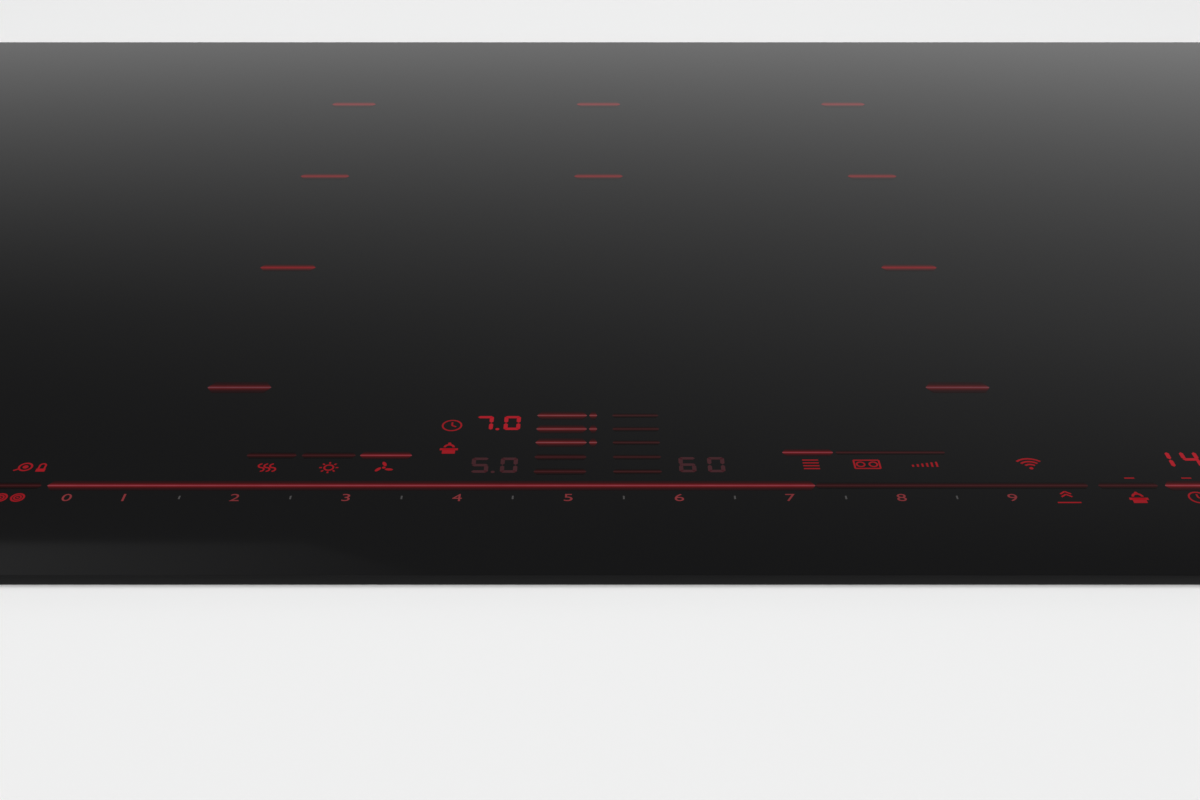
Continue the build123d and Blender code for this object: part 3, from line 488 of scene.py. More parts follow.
def flaked(name, colour):
    """Pressed mica: overlapping pearly flakes."""
    finish = Finish(name, Coat_Roughness=0.25)
    flakes = finish.cells(240.0, "Color")
    finish.set(Base_Color=finish.shades(flakes, colour, 0.7, 1.25))
    finish.set(Roughness=0.35 + 0.25 * flakes, Coat_Weight=0.5 * flakes)
    finish.relief(flakes, 0.05 * MM)
    return finish.material


def lit_acrylic(name, colour):
    """Acrylic light guide: polished, with a frosted haze that carries the red light."""
    finish = Finish(name, Emission_Strength=0.4)
    haze = finish.noise(420.0, 3.0)
    finish.set(Base_Color=finish.shades(haze, colour, 0.8, 1.1))
    finish.set(Roughness=0.12 + 0.2 * haze)
    finish.set(Emission_Color=finish.shades(haze, BRIGHT_LIGHTS["display"], 1.0, 2.0))
    return finish.material


def circuit_board():
    """Solder mask over a grid of tracks, with tinned pads."""
    finish = Finish("circuit_board", Coat_Roughness=0.2, Coat_Weight=0.3)
    tracks = finish.node(
        "ShaderNodeTexBrick",
        {"offset": 0.35, "squash": 0.7, "squash_frequency": 3},
        {"Vector": finish.place, "Scale": 120.0, "Mortar Size": 0.06, "Mortar Smooth": 0.2},
        output="Fac",
    )
    pads = finish.cells(260.0) < 0.16
    mask = finish.mix(tracks, (0.012, 0.085, 0.04, 1.0), (0.03, 0.16, 0.075, 1.0))
    finish.set(Base_Color=finish.mix(pads, mask, (0.72, 0.71, 0.68, 1.0)))
    finish.set(Metallic=pads, Roughness=0.42 - 0.12 * pads)
    finish.relief(tracks + pads, 0.05 * MM)
    return finish.material


def printed_foil():
    """Dark sensor foil with fine printed conductors."""
    finish = Finish("foil")
    print_lines = finish.node(
        "ShaderNodeTexWave",
        {"wave_type": "BANDS", "bands_direction": "DIAGONAL"},
        {"Vector": finish.place, "Scale": 160.0, "Distortion": 0.0},
    )
    conductor = print_lines > 0.86
    finish.set(Base_Color=finish.mix(conductor, (0.04, 0.04, 0.043, 1.0), (0.30, 0.29, 0.27, 1.0)))
    finish.set(Roughness=0.5 - 0.2 * conductor)
    return finish.material


def copper_litz():
    """Enamelled strands: fine twisted lines across a warm copper ground."""
    finish = Finish("copper_litz", Coat_Roughness=0.15, Coat_Weight=0.5)
    twist = finish.node(
        "ShaderNodeTexWave",
        {"wave_type": "BANDS", "bands_direction": "DIAGONAL"},
        {"Vector": finish.place, "Scale": 420.0, "Distortion": 1.5, "Detail": 2.0},
    )
    strands = finish.noise(900.0, 2.0)
    finish.set(Base_Color=finish.shades(0.7 * twist + 0.3 * strands, (0.62, 0.28, 0.12), 0.5, 1.15))
    finish.set(Metallic=0.55 + 0.3 * twist, Roughness=0.32 + 0.2 * strands)
    finish.relief(twist, 0.2 * MM)
    return finish.material


def finishes():
    """One finish for each material slot of the part."""
    return {
        "black_glass": black_glass(),
        "seal_foam": foam(),
        "silicone": rubbery("silicone", (0.07, 0.07, 0.07)),
        "frame_steel": zinc_sheet("frame_steel", (0.55, 0.56, 0.57), 260.0),
        "galvanised_sheet": zinc_sheet("galvanised_sheet", (0.53, 0.54, 0.555), 170.0),
        "spring_steel": brushed_metal("spring_steel", (0.60, 0.59, 0.56), 0.22, (1.0, 1.0, 0.05)),
        "ferrite": sintered("ferrite", (0.09, 0.09, 0.10)),
        "sensor_pad": rubbery("sensor_pad", (0.74, 0.74, 0.71)),
        "mica": flaked("mica", (0.70, 0.64, 0.50)),
        "clear_acrylic": lit_acrylic("clear_acrylic", (0.85, 0.30, 0.30)),
        "red_light": lit_acrylic("red_light", (0.80, 0.16, 0.16)),
        "circuit_board": circuit_board(),
        "black_moulding": moulded("black_moulding", (0.035, 0.035, 0.038)),
        "rotor_moulding": moulded("rotor_moulding", (0.060, 0.060, 0.064), 0.40),
        "grey_moulding": moulded("grey_moulding", (0.26, 0.27, 0.28)),
        "white_moulding": moulded("white_moulding", (0.80, 0.80, 0.78)),
        "former_moulding": moulded("former_moulding", (0.74, 0.72, 0.65), 0.55),
        "component_black": moulded("component_black", (0.045, 0.045, 0.045), 0.55),
        "capacitor_case": moulded("capacitor_case", (0.68, 0.60, 0.14), 0.32),
        "choke_core": sintered("choke_core", (0.13, 0.12, 0.11)),
        "foil": printed_foil(),
        "copper_litz": copper_litz(),
        "coil_aluminium": brushed_metal("coil_aluminium", (0.75, 0.76, 0.77), 0.34, (0.05, 1.0, 1.0)),
        "heatsink_aluminium": brushed_metal("heatsink_aluminium", (0.70, 0.71, 0.72), 0.30, (1.0, 0.03, 1.0)),
        "motor_steel": brushed_metal("motor_steel", (0.50, 0.50, 0.50), 0.30, (1.0, 1.0, 0.05)),
    }


def dress_solids(finish):
    """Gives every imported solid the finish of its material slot."""
    for part in frame["record"]["subparts"]:
        materials = frame["nodes"][part["node"]].data.materials
        materials.clear()
        materials.append(finish[part["material_slot"]])


# Mesh helpers


def add_object(name, bm, material):
    """Makes an object of a finished bmesh."""
    mesh = bpy.data.meshes.new(name)
    bm.to_mesh(mesh)
    bm.free()
    mesh.materials.append(material)
    made = bpy.data.objects.new(name, mesh)
    bpy.context.scene.collection.objects.link(made)
    return made


def add_piece(name, bm, material, smooth_below=None):
    """Makes a piece of the cooktop; edges flatter than the given angle are shaded smooth."""
    piece = add_object(name, bm, material)
    if smooth_below:
        piece.data.shade_smooth()
        piece.data.set_sharp_from_angle(angle=math.radians(smooth_below))
    return piece


def bevel(bm, geom, offset, segments, affect="EDGES"):
    bmesh.ops.bevel(bm, geom=geom, offset=offset, affect=affect, segments=segments, profile=0.5, material=-1)


def level_edges(bm, height):
    """Edges that lie at one height."""
    return [edge for edge in bm.edges if all(abs(vert.co.z - height) < CLOSE for vert in edge.verts)]


def upright_edges(bm):
    return [edge for edge in bm.edges if abs(edge.verts[0].co.z - edge.verts[1].co.z) > CLOSE]


def block(bm, low, high):
    """Adds a box between two corners and gives its verts."""
    place = Matrix.Translation((low + high) / 2) @ Matrix.Diagonal((*(high - low), 1.0))
    return bmesh.ops.create_cube(bm, size=1.0, matrix=place)["verts"]


def items_of(made, kind):
    """Verts, edges or faces among the geometry that an operator has made."""
    return [item for item in made["geom"] if isinstance(item, kind)]


def corners_of(verts):
    """Lowest and highest corner of the box around some verts."""
    low, high = ([pick(vert.co[axis] for vert in verts) for axis in range(3)] for pick in (min, max))
    return Vector(low), Vector(high)


def islands(node):
    """Boxes of the separate solids of a node, as pairs of corners."""
    bm = bmesh.new()
    bm.from_mesh(frame["nodes"][node].data)
    bmesh.ops.remove_doubles(bm, verts=bm.verts[:], dist=CLOSE)
    boxes = []
    for start in bm.verts:
        if start.tag:
            continue
        start.tag = True
        group = [start]
        for vert in group:
            for edge in vert.link_edges:
                other = edge.other_vert(vert)
                if not other.tag:
                    other.tag = True
                    group.append(other)
        boxes.append(corners_of(group))
    bm.free()
    return boxes


# Glass


def glass_pane(material):
    """The glass with round corners, polished faces and a ground edge, in place of its solid."""
    bm = bmesh.new()
    block(bm, GLASS_LOW, GLASS_HIGH)
    bevel(bm, upright_edges(bm), GLASS_CORNER * MM, segments=10)
    bevel(bm, level_edges(bm, GLASS_HIGH.z), GLASS_TOP_BEVEL * MM, segments=3)
    bevel(bm, level_edges(bm, GLASS_LOW.z), GLASS_BOTTOM_BEVEL * MM, segments=2)
    bm.normal_update()
    flat = [face for face in bm.faces if abs(face.normal.z) > LEVEL_NORMAL]
    for face in bm.faces:
        face.material_index = 0 if face in flat else 1
    bmesh.ops.inset_individual(bm, faces=flat, thickness=GLASS_FLAT_MARGIN * MM)
    pane = add_piece("glass_pane", bm, material, smooth_below=25.0)
    pane.data.materials.append(ground_edge())
    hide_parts("glass_plate")
    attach(pane, "hob")


# Lit marks


class Marks:
    """Flat marks of one brightness, gathered in one mesh and drawn in millimetres as (x, d)."""

    def __init__(self):
        self.bm = bmesh.new()
        self.bm.verts.layers.float.new("fade")

    def bar(self, start, end, width):
        """Straight stroke from one point to another."""
        start, end = Vector(start), Vector(end)
        along = end - start
        turn = Matrix.Rotation(math.atan2(along.y, along.x), 4, "Z")
        place = Matrix.Translation(((start + end) / 2).to_3d()) @ turn
        place = place @ Matrix.Diagonal((along.length, width, 1.0, 1.0))
        bmesh.ops.create_grid(self.bm, x_segments=1, y_segments=1, size=0.5, matrix=place)

    def dash(self, span, d, width):
        """Stroke along the front edge."""
        self.bar((span[0], d), (span[1], d), width)

    def soft_dash(self, span, d, width):
        """Stroke along the front edge whose light fades out to both sides, with pointed ends."""
        middle, length = (span[0] + span[1]) / 2, span[1] - span[0]
        place = Matrix.Translation((middle, d, 0.0)) @ Matrix.Diagonal((length, width, 1.0, 1.0))
        made = bmesh.ops.create_grid(self.bm, x_segments=1, y_segments=2, size=0.5, matrix=place)
        point = POINTED_END * min(width, length)
        fade = self.bm.verts.layers.float["fade"]
        for vert in made["verts"]:
            vert[fade] = abs(vert.co.y - d) / (width / 2)
            vert.co.x -= math.copysign(point * vert[fade], vert.co.x - middle)

    def ring(self, centre, radius, width=STROKE, start=0.0, sweep=360.0):
        """Ring, or an arc of it, from a start angle."""
        direction = Vector((math.cos(math.radians(start)), math.sin(math.radians(start)), 0.0))
        middle = Vector((*centre, 0.0))
        ends = [self.bm.verts.new(middle + direction * (radius + side * width / 2)) for side in (-1, 1)]
        edge = self.bm.edges.new(ends)
        bmesh.ops.spin(
            self.bm,
            geom=[*ends, edge],
            cent=middle,
            axis=(0.0, 0.0, 1.0),
            angle=math.radians(sweep),
            steps=round(sweep / ARC_STEP),
            use_merge=sweep == 360.0,
        )

    def dot(self, centre, radius, stretch=1.0, turn=0.0):
        """Filled disc, or an oval turned by an angle."""
        place = Matrix.Translation((*centre, 0.0)) @ Matrix.Rotation(math.radians(turn), 4, "Z")
        place = place @ Matrix.Diagonal((stretch, 1.0, 1.0, 1.0))
        bmesh.ops.create_circle(self.bm, cap_ends=True, segments=DOT_SIDES, radius=radius, matrix=place)

    def figure(self, text, centre, width, height):
        """Plain printed figure, fitted to a width and a height."""
        curve = bpy.data.curves.new("figure", "FONT")
        curve.body = text
        source = bpy.data.objects.new("figure", curve)
        mesh = bpy.data.meshes.new_from_object(source)
        low, high = corners_of(mesh.vertices)
        size = high - low
        rise = height / size.y
        fit = Matrix.Diagonal((min(width / size.x, FIGURE_STRETCH * rise), rise, 1.0, 1.0))
        mesh.transform(Matrix.Translation((*centre, 0.0)) @ fit @ Matrix.Translation(-(low + high) / 2))
        self.bm.from_mesh(mesh)
        bpy.data.meshes.remove(mesh)
        bpy.data.objects.remove(source)
        bpy.data.curves.remove(curve)

    def digit(self, text, left, bottom):
        """Seven-segment figure with its lower left corner at a place."""
        low, half, high = bottom, bottom + DIGIT_HEIGHT / 2, bottom + DIGIT_HEIGHT
        right = left + DIGIT_WIDTH
        inset = DIGIT_STROKE / 2
        runs = {
            "a": ((left, high - inset), (right, high - inset)),
            "b": ((right - inset, half), (right - inset, high)),
            "c": ((right - inset, low), (right - inset, half)),
            "d": ((left, low + inset), (right, low + inset)),
            "e": ((left + inset, low), (left + inset, half)),
            "f": ((left + inset, half), (left + inset, high)),
            "g": ((left, half), (right, half)),
        }
        for name in SEGMENTS[text]:
            start, end = (Vector(point) for point in runs[name])
            gap = (end - start).normalized() * SEGMENT_GAP
            self.segment(start + gap, end - gap)

    def segment(self, start, end):
        """Bar with pointed ends."""
        along = (end - start).normalized() * DIGIT_STROKE / 2
        across = Vector((-along.y, along.x))
        outline = (start - along, start - across, end - across, end + along, end + across, start + across)
        self.bm.faces.new([self.bm.verts.new(point.to_3d()) for point in outline])

    def piece(self, name, material):
        """Gives the marks their height and lays them on the glass."""
        bm = self.bm
        bm.normal_update()
        bmesh.ops.reverse_faces(bm, faces=[face for face in bm.faces if face.normal.z < 0])
        bmesh.ops.solidify(bm, geom=bm.faces[:], thickness=-MARK_HEIGHT)
        place = Matrix.Translation((0.0, GLASS_LOW.y, GLASS_HIGH.z + MARK_LIFT * MM))
        bmesh.ops.transform(bm, matrix=place @ Matrix.Scale(MM, 4), verts=bm.verts[:])
        bmesh.ops.recalc_face_normals(bm, faces=bm.faces[:])
        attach(add_piece(name, bm, material), "hob")


def clock_symbol(marks, x, d, radius):
    marks.ring((x, d), radius)
    marks.bar((x, d), (x, d + 0.62 * radius), STROKE)
    marks.bar((x, d), (x + 0.45 * radius, d - 0.25 * radius), STROKE)


def pot_symbol(marks, x, d, width, height):
    """Filled pot with two handles, under a lid with a knob."""
    half = width / 2
    rim = d + 0.12 * height
    marks.bar((x, d - height / 2), (x, rim - STROKE), 0.72 * width)
    marks.dash((x - half, x + half), rim - 2 * STROKE, 2 * STROKE)
    marks.ring((x, rim), 0.5 * half, 1.4 * STROKE, 0.0, 180.0)
    marks.dot((x, d + height / 2), KNOB_RADIUS)


def lamp_symbol(marks, x, d, radius):
    """Small sun: a ring with eight rays."""
    marks.ring((x, d), 0.48 * radius)
    for step in range(8):
        ray = Vector((1.0, 0.0))
        ray.rotate(Matrix.Rotation(math.radians(45 * step), 2))
        marks.bar(Vector((x, d)) + ray * 0.72 * radius, Vector((x, d)) + ray * radius, STROKE)


def fan_symbol(marks, x, d, radius):
    """Three oval blades about a hub."""
    for step in range(3):
        angle = 90 + 120 * step
        out = Vector((math.cos(math.radians(angle)), math.sin(math.radians(angle)))) * 0.58 * radius
        marks.dot((x + out.x, d + out.y), 0.17 * radius, 2.2, angle + 24)
    marks.dot((x, d), 0.16 * radius)


def steam_symbol(marks, x, d, width, height):
    """Three upright waves."""
    bend = height / 4
    for step in (-1, 0, 1):
        column = x + step * width / 3
        marks.ring((column, d + bend), bend, STROKE, 90.0, 180.0)
        marks.ring((column, d - bend), bend, STROKE, -90.0, 180.0)


def list_symbol(marks, x, d, width, height):
    """Four stacked bars."""
    for step in range(4):
        marks.dash((x - width / 2, x + width / 2), d + height * (step / 3 - 0.5), FINE_STROKE)


def twin_zone_symbol(marks, x, d, width, height):
    """Frame around two round zones."""
    half, rise = width / 2, height / 2
    for side in (-1, 1):
        marks.dash((x - half, x + half), d + side * rise, STROKE)
        marks.bar((x + side * half, d - rise), (x + side * half, d + rise), STROKE)
        marks.ring((x + side * half / 2, d), 0.55 * rise, FINE_STROKE)


def level_symbol(marks, x, d, width, height):
    """Row of bars that grow to the right."""
    for step in range(6):
        column = x + width * (step / 5 - 0.5)
        foot = d - height / 2
        marks.bar((column, foot), (column, foot + height * (0.4 + 0.12 * step)), BOLD_STROKE)


def radio_symbol(marks, x, d, radius):
    """Three arcs above a dot."""
    foot = d - radius / 2
    marks.dot((x, foot), POINT_RADIUS)
    for share in (0.4, 0.7, 1.0):
        marks.ring((x, foot), share * radius, HEAVY_STROKE, 45.0, 90.0)


def pan_symbol(marks, x, d, radius):
    """Pan seen from above, its handle to the lower left."""
    marks.ring((x, d), radius, BOLD_STROKE)
    marks.dot((x, d), 0.45 * radius)
    out = Vector((-0.85, -0.53)) * radius
    rim = Vector((x, d)) + out
    marks.bar(rim, rim + 0.9 * out, BOLD_STROKE)


def lock_symbol(marks, x, d, width):
    """Closed padlock: a body under a bow on two legs."""
    bow = 0.32 * width
    foot, top = d - 0.2 * width, d + 0.4 * width
    marks.bar((x, d - 0.75 * width), (x, foot), width)
    for side in (-bow, bow):
        marks.bar((x + side, foot), (x + side, top), STROKE)
    marks.ring((x, top), bow, STROKE, 0.0, 180.0)


def burner_symbol(marks, x, d, radius):
    marks.ring((x, d), radius, BOLD_STROKE)
    marks.ring((x, d), 0.55 * radius, FINE_STROKE)
    marks.dot((x, d), 0.2 * radius)


def boost_symbol(marks, x, d, width):
    """Two arrowheads that point away from the front edge, above a line."""
    half = width / 2
    marks.dash((x - 1.1 * width, x + 1.1 * width), d - 0.9 * width, STROKE)
    for rise in (0.0, 0.45 * width):
        tip = (x, d + rise + 0.4 * width)
        marks.bar((x - half, d + rise), tip, STROKE)
        marks.bar((x + half, d + rise), tip, STROKE)


def zone_dashes(near, far):
    """Lit dash beside each coil: the front row, and the rows behind it."""
    front, back = Marks(), Marks()
    for row, (d, width) in enumerate(DASH_ROWS):
        marks = back if row else front
        for x in DASH_COLUMNS:
            if x or d > MIDDLE_DASHES_FROM:
                marks.soft_dash((x - DASH_LENGTH / 2, x + DASH_LENGTH / 2), d, width)
    front.piece("zone_dashes_front", near)
    back.piece("zone_dashes_back", far)


def soft_lines(name, lines, material):
    """Soft dashes as one piece, each given by its span in x, d and width."""
    marks = Marks()
    for span, d, width in lines:
        marks.soft_dash(span, d, width)
    marks.piece(name, material)


def slider_lines(lit, dim):
    soft_lines("slider_lit", [(span, SLIDER_D, SLIDER_WIDTH) for span in SLIDER_LIT], lit)
    soft_lines("slider_dim", [(span, SLIDER_D, DIM_LINE_WIDTH) for span in SLIDER_DIM], dim)


def slider_figures(material):
    """Figures 0 to 9 below the slider, with a printed tick half-way between each two from 1 on."""
    marks, ticks = Marks(), Marks()
    tick_low, tick_high = FIGURE_D - TICK_LENGTH / 2, FIGURE_D + TICK_LENGTH / 2
    marks.figure("0", (FIGURE_ZERO_X, FIGURE_D), FIGURE_WIDTH, FIGURE_HEIGHT)
    for number in range(1, 10):
        x = FIGURE_ONE_X + FIGURE_STEP * (number - 1)
        marks.figure(str(number), (x, FIGURE_D), FIGURE_WIDTH, FIGURE_HEIGHT)
        if number < 9:
            half_way = x + FIGURE_STEP / 2
            ticks.bar((half_way, tick_low), (half_way, tick_high), TICK_WIDTH)
    marks.piece("slider_figures", material)
    ticks.piece("slider_ticks", printed_ink())


def zone_lines(red):
    """Lines of the five zones on each side of the middle: lit, dim and faint."""
    lines = {level: Marks() for level in ("zone", "dim", "faint")}
    for row, d in enumerate(ZONE_LINE_D):
        if row < ZONE_LINES_LIT:
            lines["zone"].soft_dash(ZONE_LINE_LEFT, d, ZONE_LINE_WIDTH)
            lines["zone"].soft_dash(ZONE_LINE_TIP, d, ZONE_LINE_WIDTH)
        else:
            lines["dim"].soft_dash(ZONE_LINE_LEFT, d, DIM_LINE_WIDTH)
        lines["faint"].soft_dash(ZONE_LINE_RIGHT, d, FAINT_LINE_WIDTH)
    for level, marks in lines.items():
        marks.piece(f"zone_lines_{level}", red[level])


def power_display(lit, dim):
    """Seven-segment figures beside the zone lines and at the right end."""
    for name, figures, point, material in (
        ("display_lit", DISPLAY_LIT, POINT_LIT, lit),
        ("display_dim", DISPLAY_DIM, POINT_DIM, dim),
    ):
        marks = Marks()
        for text, left, bottom in figures:
            marks.digit(text, left, bottom)
        marks.dot(point, POINT_RADIUS)
        marks.piece(name, material)


def function_bars(lit, dim):
    """Bars above the two groups of function keys."""
    soft_lines("function_bars_lit", FUNCTION_BARS_LIT, lit)
    soft_lines("function_bars_dim", FUNCTION_BARS_DIM, dim)


# Symbols of the touch keys, as x, d and size, and the short dashes above the two last ones
KEY_SYMBOLS = (
    (pan_symbol, -199.2, 59.4, 2.2),
    (lock_symbol, -193.4, 59.0, 3.2),
    (burner_symbol, -201.6, 41.4, 2.1),
    (burner_symbol, -195.8, 41.4, 2.1),
    (steam_symbol, -115.2, 59.0, 6.0, 4.4),
    (lamp_symbol, -93.7, 59.0, 3.3),
    (fan_symbol, -74.6, 59.0, 3.8),
    (clock_symbol, -53.2, 85.7, 3.4),
    (pot_symbol, -53.0, 70.8, 6.4, 6.4),
    (list_symbol, 74.1, 61.0, 5.6, 5.2),
    (twin_zone_symbol, 93.6, 61.0, 8.8, 5.0),
    (level_symbol, 113.7, 61.0, 8.4, 3.0),
    (radio_symbol, 150.3, 61.5, 5.8),
    (boost_symbol, 158.0, 41.8, 3.6),
    (pot_symbol, 181.9, 41.2, 6.4, 5.8),
    (clock_symbol, 202.1, 41.4, 3.0),
)
KEY_DASHES = ((180.7, 184.1), (200.3, 203.7))
KEY_DASH_D = 52.7


def key_symbols(material):
    marks = Marks()
    for symbol, *place_and_size in KEY_SYMBOLS:
        symbol(marks, *place_and_size)
    for span in KEY_DASHES:
        marks.dash(span, KEY_DASH_D, STROKE)
    marks.piece("key_symbols", material)


def lit_marks():
    """Marks on the glass, one piece for each kind and brightness."""
    red = {}
    for lights, glow in ((BRIGHT_LIGHTS, BRIGHT_GLOW), (DIM_LIGHTS, DIM_GLOW)):
        for level, colour in lights.items():
            red[level] = lit_red(f"{level}_red", colour, *glow)
    zone_dashes(red["dash"], red["far_dash"])
    slider_lines(red["lit"], red["dim"])
    slider_figures(red["figure"])
    zone_lines(red)
    power_display(red["display"], red["dim"])
    function_bars(red["lit"], red["dim"])
    key_symbols(red["symbol"])


# Fasteners and clips


def screw_head(bm, radius, height):
    """Flat round head, up from the origin, with a six-lobed recess in its top."""
    made = bmesh.ops.create_circle(bm, cap_ends=True, segments=SCREW_SIDES, radius=radius)
    grown = bmesh.ops.extrude_face_region(bm, geom=made["verts"][0].link_faces[:])
    top = items_of(grown, bmesh.types.BMFace)[0]
    bmesh.ops.translate(bm, vec=(0.0, 0.0, height), verts=top.verts[:])
    bevel(bm, top.edges[:], SCREW_ROUNDING * height, segments=2)
    bm.normal_update()
    top = max(bm.faces, key=lambda face: (face.calc_center_median().z, face.calc_area()))
    bmesh.ops.inset_region(bm, faces=[top], thickness=RECESS_MARGIN * radius)
    for index, vert in enumerate(top.verts):
        vert.co.xy *= 1.0 + LOBE_DEPTH * math.cos(2 * math.pi * RECESS_LOBES * index / SCREW_SIDES)
    sunk = bmesh.ops.extrude_face_region(bm, geom=[top])
    floor = items_of(sunk, bmesh.types.BMFace)[0]
    bmesh.ops.translate(bm, vec=(0.0, 0.0, -RECESS_DEPTH * height), verts=floor.verts[:])


def rivet_head(bm, radius, height):
    """Low dome, up from the origin."""
    verts = [bm.verts.new((out * radius, 0.0, rise * height)) for out, rise in RIVET_DOME]
    edges = [bm.edges.new(pair) for pair in zip(verts, verts[1:])]
    bmesh.ops.spin(
        bm,
        geom=verts + edges,
        cent=(0.0, 0.0, 0.0),
        axis=(0.0, 0.0, 1.0),
        angle=2 * math.pi,
        steps=RIVET_SIDES,
        use_merge=True,
    )
    bmesh.ops.remove_doubles(bm, verts=bm.verts[:], dist=CLOSE)
    bmesh.ops.holes_fill(bm, edges=[edge for edge in bm.edges if edge.is_boundary])


def fasteners(name, head, size, places, finish):
    """Copies of one steel head, each put in place by a matrix, as one piece."""
    bm = bmesh.new()
    head(bm, *(length * MM for length in size))
    bmesh.ops.recalc_face_normals(bm, faces=bm.faces[:])
    first = bm.verts[:] + bm.edges[:] + bm.faces[:]
    for place in places:
        copy = bmesh.ops.duplicate(bm, geom=first)
        bmesh.ops.transform(bm, matrix=place, verts=items_of(copy, bmesh.types.BMVert))
    bmesh.ops.delete(bm, geom=first, context="VERTS")
    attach(add_piece(name, bm, finish["motor_steel"], smooth_below=30.0), "hob")


def facing_down(x, y, z):
    return Matrix.Translation((x, y, z)) @ Matrix.Rotation(math.pi, 4, "X")


def facing_out(x, y, z):
    """Place on a side wall, turned away from the tray."""
    return Matrix.Translation((x, y, z)) @ Matrix.Rotation(math.copysign(math.pi / 2, x), 4, "Y")


def tray_screws(finish):
    """Screws through the tray's floor into the posts and the boards' standoffs."""
    for name, node, size in (
        ("post_screws", "plate_posts", POST_SCREW),
        ("board_screws", "board_standoffs", BOARD_SCREW),
    ):
        places = []
        for low, high in islands(node):
            places.append(facing_down((low.x + high.x) / 2, (low.y + high.y) / 2, TRAY_LOW.z))
        fasteners(name, screw_head, size, places, finish)


def terminal_screws(finish):
    """Clamp screw at the bottom of each well of the terminal block."""
    low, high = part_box("terminal_block")
    pitch = (high.x - low.x) / POLE_COUNT
    middle_y = (low.y + high.y) / 2
    places = []
    for index in range(POLE_COUNT):
        places.append(facing_down(low.x + pitch * (index + 0.5), middle_y, low.z + POLE_DEPTH * MM))
    fasteners("terminal_screws", screw_head, POLE_SCREW, places, finish)


def clip_rivets(finish):
    """Two rivets through each clip's tab."""
    places = []
    for low, high in islands("clip_tabs"):
        face = max(low.x, high.x, key=abs)
        for step in (-CLIP_RIVET_SPREAD, CLIP_RIVET_SPREAD):
            places.append(facing_out(face, (low.y + high.y) / 2 + step * MM, (low.z + high.z) / 2))
    fasteners("clip_rivets", rivet_head, RIVET, places, finish)


def corner_laps(finish):
    """Flap of each tray corner, folded round onto the side wall and riveted there."""
    low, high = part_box("base_tray")
    bottom, top = low.z + LAP_ABOVE_FLOOR * MM, high.z - LAP_BELOW_RIM * MM
    bm = bmesh.new()
    places = []
    for wall in (low.x, high.x):
        face = wall + math.copysign(LAP_SHEET * MM, wall)
        for end in (low.y, high.y):
            free = end - math.copysign(LAP_WIDTH * MM, end)
            lap_low = Vector((min(wall, face), min(end, free), bottom))
            lap_high = Vector((max(wall, face), max(end, free), top))
            edges = {edge for vert in block(bm, lap_low, lap_high) for edge in vert.link_edges}
            free_edges = [edge for edge in edges if all(abs(vert.co.y - free) < CLOSE for vert in edge.verts)]
            across = [edge for edge in free_edges if abs(edge.verts[0].co.z - edge.verts[1].co.z) < CLOSE]
            bevel(bm, across, LAP_CORNER * MM, segments=3)
            for share in LAP_RIVETS:
                places.append(facing_out(face, (end + free) / 2, bottom + share * (top - bottom)))
    laps = add_piece("corner_laps", bm, finish["galvanised_sheet"], smooth_below=30.0)
    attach(laps, "hob")
    fasteners("lap_rivets", rivet_head, RIVET, places, finish)


def spring_clip(end, side, tabs, finish):
    """One bent strip, riveted above and springing below, in place of a clip's tab and leaf."""
    leaf = f"clip_leaf_{end}_{side}"
    leaf_low, leaf_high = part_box(leaf)
    tab_low, tab_high = min(tabs, key=lambda box: (box[0] - leaf_low).length)
    sign = math.copysign(1.0, leaf_low.x)
    centre = min(abs(tab_low.x), abs(tab_high.x)) + CLIP_SHEET * MM / 2
    bulge = max(abs(leaf_low.x), abs(leaf_high.x)) - CLIP_SHEET * MM / 2
    profile = (
        (centre, tab_high.z),
        (centre, tab_low.z),
        (bulge, leaf_low.z + CLIP_TIP_RISE * MM),
        (bulge - CLIP_TIP_INSET * MM, leaf_low.z),
    )
    bm = bmesh.new()
    verts = [bm.verts.new((sign * x, leaf_low.y, z)) for x, z in profile]
    for pair in zip(verts, verts[1:]):
        bm.edges.new(pair)
    bevel(bm, verts[1:3], CLIP_BEND * MM, segments=4, affect="VERTICES")
    bmesh.ops.subdivide_edges(bm, edges=bm.edges[:], cuts=2)
    grown = bmesh.ops.extrude_edge_only(bm, edges=bm.edges[:])
    far_side = items_of(grown, bmesh.types.BMVert)
    bmesh.ops.translate(bm, vec=(0.0, leaf_high.y - leaf_low.y, 0.0), verts=far_side)
    bmesh.ops.recalc_face_normals(bm, faces=bm.faces[:])
    bmesh.ops.solidify(bm, geom=bm.faces[:], thickness=CLIP_SHEET * MM)
    bmesh.ops.recalc_face_normals(bm, faces=bm.faces[:])
    riveted = [vert for vert in bm.verts if vert.co.z > tab_low.z + CLIP_TAB_MARGIN * MM]
    shift = sign * centre - sum(vert.co.x for vert in riveted) / len(riveted)
    bmesh.ops.translate(bm, vec=(shift, 0.0, 0.0), verts=bm.verts[:])
    name = f"spring_clip_{end}_{side}"
    strip = add_piece(name, bm, finish["spring_steel"], smooth_below=30.0)
    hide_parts(leaf, "clip_tabs")
    root = Vector((sign * centre, (leaf_low.y + leaf_high.y) / 2, tab_low.z))
    start = root + Vector((0.0, 0.0, CLIP_FLEX_ABOVE * MM))
    stop = root - Vector((0.0, 0.0, CLIP_FLEX_BELOW * MM))
    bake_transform(strip, "hob", f"clip_{end}_{side}", start=start, end=stop)


def spring_clips(finish):
    tabs = islands("clip_tabs")
    for end in ("front", "rear"):
        for side in ("left", "right"):
            spring_clip(end, side, tabs, finish)


# Stage, light and camera


